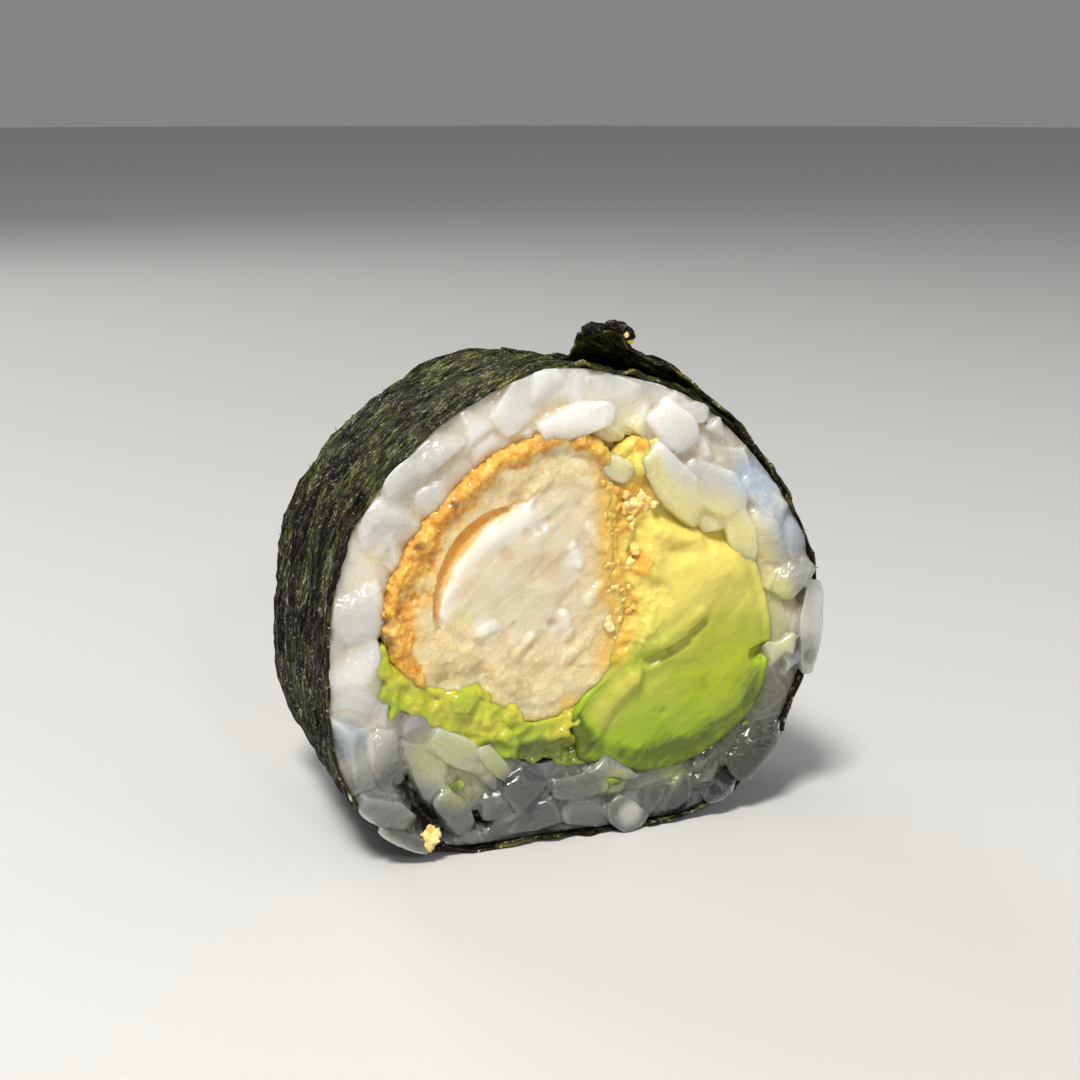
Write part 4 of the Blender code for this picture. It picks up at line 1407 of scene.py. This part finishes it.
def avocado_material(name, wet):
    """Avocado, yellow by the stone and green by the skin. Mash is wetter and more mixed."""
    flesh = Finish(
        name, Roughness=0.4, IOR=1.45, Subsurface_Weight=0.7, Subsurface_Scale=1.6 * MM,
        Subsurface_Radius=(1.0, 0.9, 0.25), Specular_IOR_Level=0.4,
        Coat_Weight=0.25 + 0.65 * wet, Coat_Roughness=0.10 - 0.05 * wet,
    )
    where = flesh.place()
    streaks = flesh.noise(flesh.place((0.3, 1.0, 1.4), WEDGE_GRAIN), 0.9, 4.0, 0.6)
    cloud = flesh.noise(where, 3.0 - wet, 3.0)
    spread = 0.08 + 0.12 * wet
    ripe = flesh.total(
        flesh.painted("ripe"), flesh.fade(cloud, 0.25, 0.75, -spread, spread),
        flesh.fade(streaks, 0.3, 0.7, -0.04, 0.04),
    )
    clean = flesh.ramp(
        ripe,
        (0.0, (0.76, 0.61, 0.14 - 0.09 * wet)), (0.22, (0.69, 0.60, 0.13 - 0.08 * wet)),
        (0.45, (0.47, 0.47, 0.065 - 0.045 * wet)), (0.66, (0.37, 0.44, 0.036 - 0.02 * wet)),
        (0.84, (0.30, 0.43, 0.011)), (1.0, (0.10, 0.14, 0.006)),
    )
    # The hollow colour is a painted dark green shade in the mash's hollows.
    flesh.drive(
        Base_Color=flesh.paint_over(
            clean, ("soaked", (0.70, 0.36, 0.03)), ("hollow", (0.10, 0.11, 0.006))
        ),
        Roughness=flesh.fade(streaks, 0.3, 0.7, 0.28, 0.5),
    )
    flesh.bump((streaks, 0.06), (flesh.noise(where, 0.6, 4.0, 0.65), 0.11 + 0.09 * wet))
    return flesh


def add_wedge(finish):
    """The wedge, with the soft lumps that its left side is torn into."""
    kind = model_grain("wedge_lump", 0.9, 0.05, 6)
    chance = random.Random(12)
    lumps = list(WEDGE_LUMPS)
    for _ in range(70):
        x, z = 3.6 + abs(chance.gauss(0, 1.9)), chance.uniform(14.0, 30.0)
        size = chance.uniform(1.0, 2.2)
        lumps.append(((x, z), 1.4 * size, size, chance.uniform(0, 180), chance.uniform(-0.2, 0.2)))
    pieces = [copy_of_node("avocado_wedge", "wedge_base")]
    for side in (NEAR, FAR):
        pieces += [place_lump(kind, side, lump) for lump in lumps]
    discard(kind)
    wedge = fuse(pieces, "avocado_wedge_flesh", 0.27, 4)
    refine_cut_faces(wedge)
    soften(wedge, 2)

    x, z, depth = on_face(wedge)
    face = 1 - smoothstep(0.3, 1.6, depth)
    weigh(wedge, "face_zone", face)
    weigh(wedge, "torn_zone", face * (1 - smoothstep(5.5, 8.5, x)) * smoothstep(13.0, 19.0, z))
    weigh(wedge, "rim_zone", 1 - smoothstep(0.3, 1.0, wedge_outline.inside(x, z)))
    swell(wedge, 0.25, "rim_zone")
    roughen(wedge, 4.0, 0.35, "face_zone", WEDGE_GRAIN, 1.5)
    roughen(wedge, 1.2, 0.2, "face_zone", WEDGE_GRAIN, 2.2, 3)
    roughen(wedge, 0.8, 0.6, "torn_zone")
    for side in (NEAR, FAR):
        for path, reach, by in WEDGE_LINES:
            stroke(wedge, side, path, reach, by)

    x, z, depth = on_face(wedge)
    inside = wedge_outline.inside(x, z)
    down = smoothstep(-4.0, 22.0, 27.0 - z + 0.12 * (x - 8))
    skin = (1 - smoothstep(0.0, 3.4, inside)) * (1 - smoothstep(13.0, 20.0, z))
    # Painted highlight: the flesh is a little yellower and lighter at the very rim.
    edge = 1 - smoothstep(0.2, 1.0, inside)
    ripe = np.clip(0.86 * down + 0.34 * skin - 0.14 * edge * down, 0.0, 1.0)
    bruise = spots(x, z, BRUISE)
    # Orange-brown where the torn side lies deep.
    deep_orange = 0.7 * smoothstep(0.7, 1.6, depth) * (x < 4.5) * (z > 12.0)
    wander = ripples(x, z, 4.0, 1.2)
    by_cutlet = 1 - smoothstep(0.2, 1.5 + wander, -cutlet_outline.inside(x, z))
    by_cutlet = 0.7 * by_cutlet * smoothstep(14.0, 18.0, z)
    stained = np.maximum(0.85 * spots(x, z, STAINED), by_cutlet)
    paint(
        wedge,
        ripe=ripe - 0.25 * spots(x, z, PALE_WEDGE) + 0.20 * bruise,
        soaked=np.maximum(np.maximum(stained, deep_orange), 0.13 * bruise),
        hollow=np.zeros(len(x)),  # only the mash has hollows, but both finishes look for them
    )
    finish_piece(wedge, finish, "avocado", "avocado_wedge")


# The mashed avocado under the cutlet: (x, z), length, width, turn, how proud and how green. The
# greenest low lumps along the mash's foot are painted shade.
MASH = [
    ((-18.2, 18.0), 3.0, 1.8, 100, 0.3, 0.50), ((-17.2, 16.4), 3.4, 1.4, 110, 0.2, 0.55),
    ((-16.4, 16.8), 2.6, 1.6, -40, 0.3, 0.42), ((-15.0, 15.6), 2.8, 1.3, -38, 0.0, 0.50),
    ((-13.2, 14.6), 3.2, 1.8, -16, 0.2, 0.34), ((-11.0, 14.2), 4.2, 2.6, 10, 0.5, 0.56),
    ((-9.6, 13.6), 2.6, 2.0, 50, 0.3, 0.62), ((-11.8, 12.8), 3.2, 1.8, -20, 0.2, 0.40),
    ((-8.4, 12.4), 2.6, 2.2, 60, 0.4, 0.44), ((-6.8, 12.2), 3.0, 2.0, -30, 0.3, 0.30),
    ((-9.6, 11.4), 2.6, 1.8, 10, 0.2, 0.36), ((-6.6, 10.3), 3.4, 2.0, 12, 0.3, 0.66),
    ((-4.6, 10.7), 3.0, 1.6, 10, 0.1, 0.46), ((-4.6, 8.9), 3.2, 2.2, 6, -0.4, 0.86),
    ((-2.4, 10.1), 2.8, 1.6, 20, 0.3, 0.54), ((-1.5, 10.9), 2.6, 1.6, 14, 0.3, 0.40),
    ((-2.4, 8.6), 3.6, 2.2, -4, -0.4, 0.88), ((0.2, 8.9), 2.8, 1.8, -16, 0.2, 0.55),
    ((-0.8, 12.0), 2.6, 1.2, 18, -0.2, 0.20), ((-17.2, 14.4), 3.0, 0.8, 84, 0.2, 0.60),
    ((0.4, 10.3), 2.8, 1.8, 30, -0.2, 0.40), ((1.0, 8.5), 2.8, 2.0, 8, -0.25, 0.72),
    ((1.3, 9.7), 2.6, 1.6, 50, -0.35, 0.60), ((0.6, 7.5), 3.2, 1.8, -6, -0.1, 0.85),
    ((-1.0, 7.6), 2.8, 1.6, 4, -0.2, 0.88),
]

# A line along which the mash is pushed in and given painted shade.
MASH_HOLLOW = [(-5.2, 8.4), (-3.8, 8.6), (-2.4, 8.6), (-1.0, 8.2)]

# Bits of avocado that lie elsewhere on the near face, given in the same way as the mash.
BITS = [
    ((16.9, 14.5), 2.2, 1.0, 24, 0.3, 0.46), ((7.0, 15.6), 1.2, 0.7, 30, 0.7, 0.1),
    ((7.7, 15.9), 1.1, 0.7, -20, 0.75, 0.05), ((8.4, 16.2), 0.9, 0.5, 50, 0.7, 0.15),
    ((7.4, 15.2), 0.6, 0.4, 0, 0.35, 0.2), ((6.2, 13.6), 0.6, 0.3, 60, 0.3, 0.2),
    ((-11.9, 6.4), 1.8, 1.0, 30, 0.3, 0.95), ((4.1, 44.5), 1.1, 0.6, 60, 0.45, 0.30),
    ((15.9, 8.7), 0.8, 0.5, 10, 0.2, 0.80), ((13.7, 7.7), 0.7, 0.5, 40, 0.2, 0.90),
    ((17.2, 10.9), 0.7, 0.5, 70, 0.2, 0.85), ((2.8, 5.0), 1.8, 0.9, -10, 0.4, 0.90),
]


def add_lumps(name, lumps, base, sides, finish, *nodes):
    """Soft lumps fused into each other, and into a base when there is one."""
    kind = model_grain("lump", 0.9, 0.05, 5)
    made, shades = [], []
    chance = random.Random(31)
    for side in sides:
        for *lump, green in lumps:
            made.append(place_lump(
                kind, side, lump, chance.gauss(0, 0.1), chance.uniform(-0.4, 0.4)
            ))
            shades.append(green)
    spreads = [spread_of(lump) for lump in made]
    piece = fuse(made + base, name, 0.22, 2)
    roughen(piece, 1.8, 1.0 if base else 0.3, detail=1)
    roughen(piece, 0.7, 0.4 if base else 0.2, detail=1)
    if base:
        for side in sides:
            stroke(piece, side, MASH_HOLLOW, 1.2, -0.7, 0.4)

    # each point is as green as the lumps near it
    places = points_of(piece)
    ripe = np.zeros(len(places))
    weight = np.full(len(places), 1e-9)
    for lump, shade in zip(spreads, shades):
        near = np.exp(-off_grain(places, lump))
        ripe += shade * near
        weight += near
    x, z, depth = on_face(piece)
    # Painted shade: dark green where the mash lies deep, and along its hollow.
    hollow = 0.45 * smoothstep(0.1, 1.2, depth) * (z < 16.0)
    if base:
        hollow = np.maximum(hollow, 0.7 * spots(x, z, [(spot, 1.9) for spot in MASH_HOLLOW]))
    paint(
        piece, ripe=(ripe + 0.5e-9) / weight + 0.04, soaked=0.8 * spots(x, z, STAINED),
        hollow=hollow,
    )
    finish_piece(piece, finish, "avocado", *nodes)
    discard(kind)


add_wedge(avocado_material("avocado", 0.0))
mash_finish = avocado_material("mashed_avocado", 1.0)
add_lumps(
    "avocado_mash", MASH, [copy_of_node("avocado_slice", "mash_base")], (NEAR, FAR),
    mash_finish, "avocado_slice",
)
add_lumps("avocado_bits", BITS, [], (NEAR,), mash_finish)
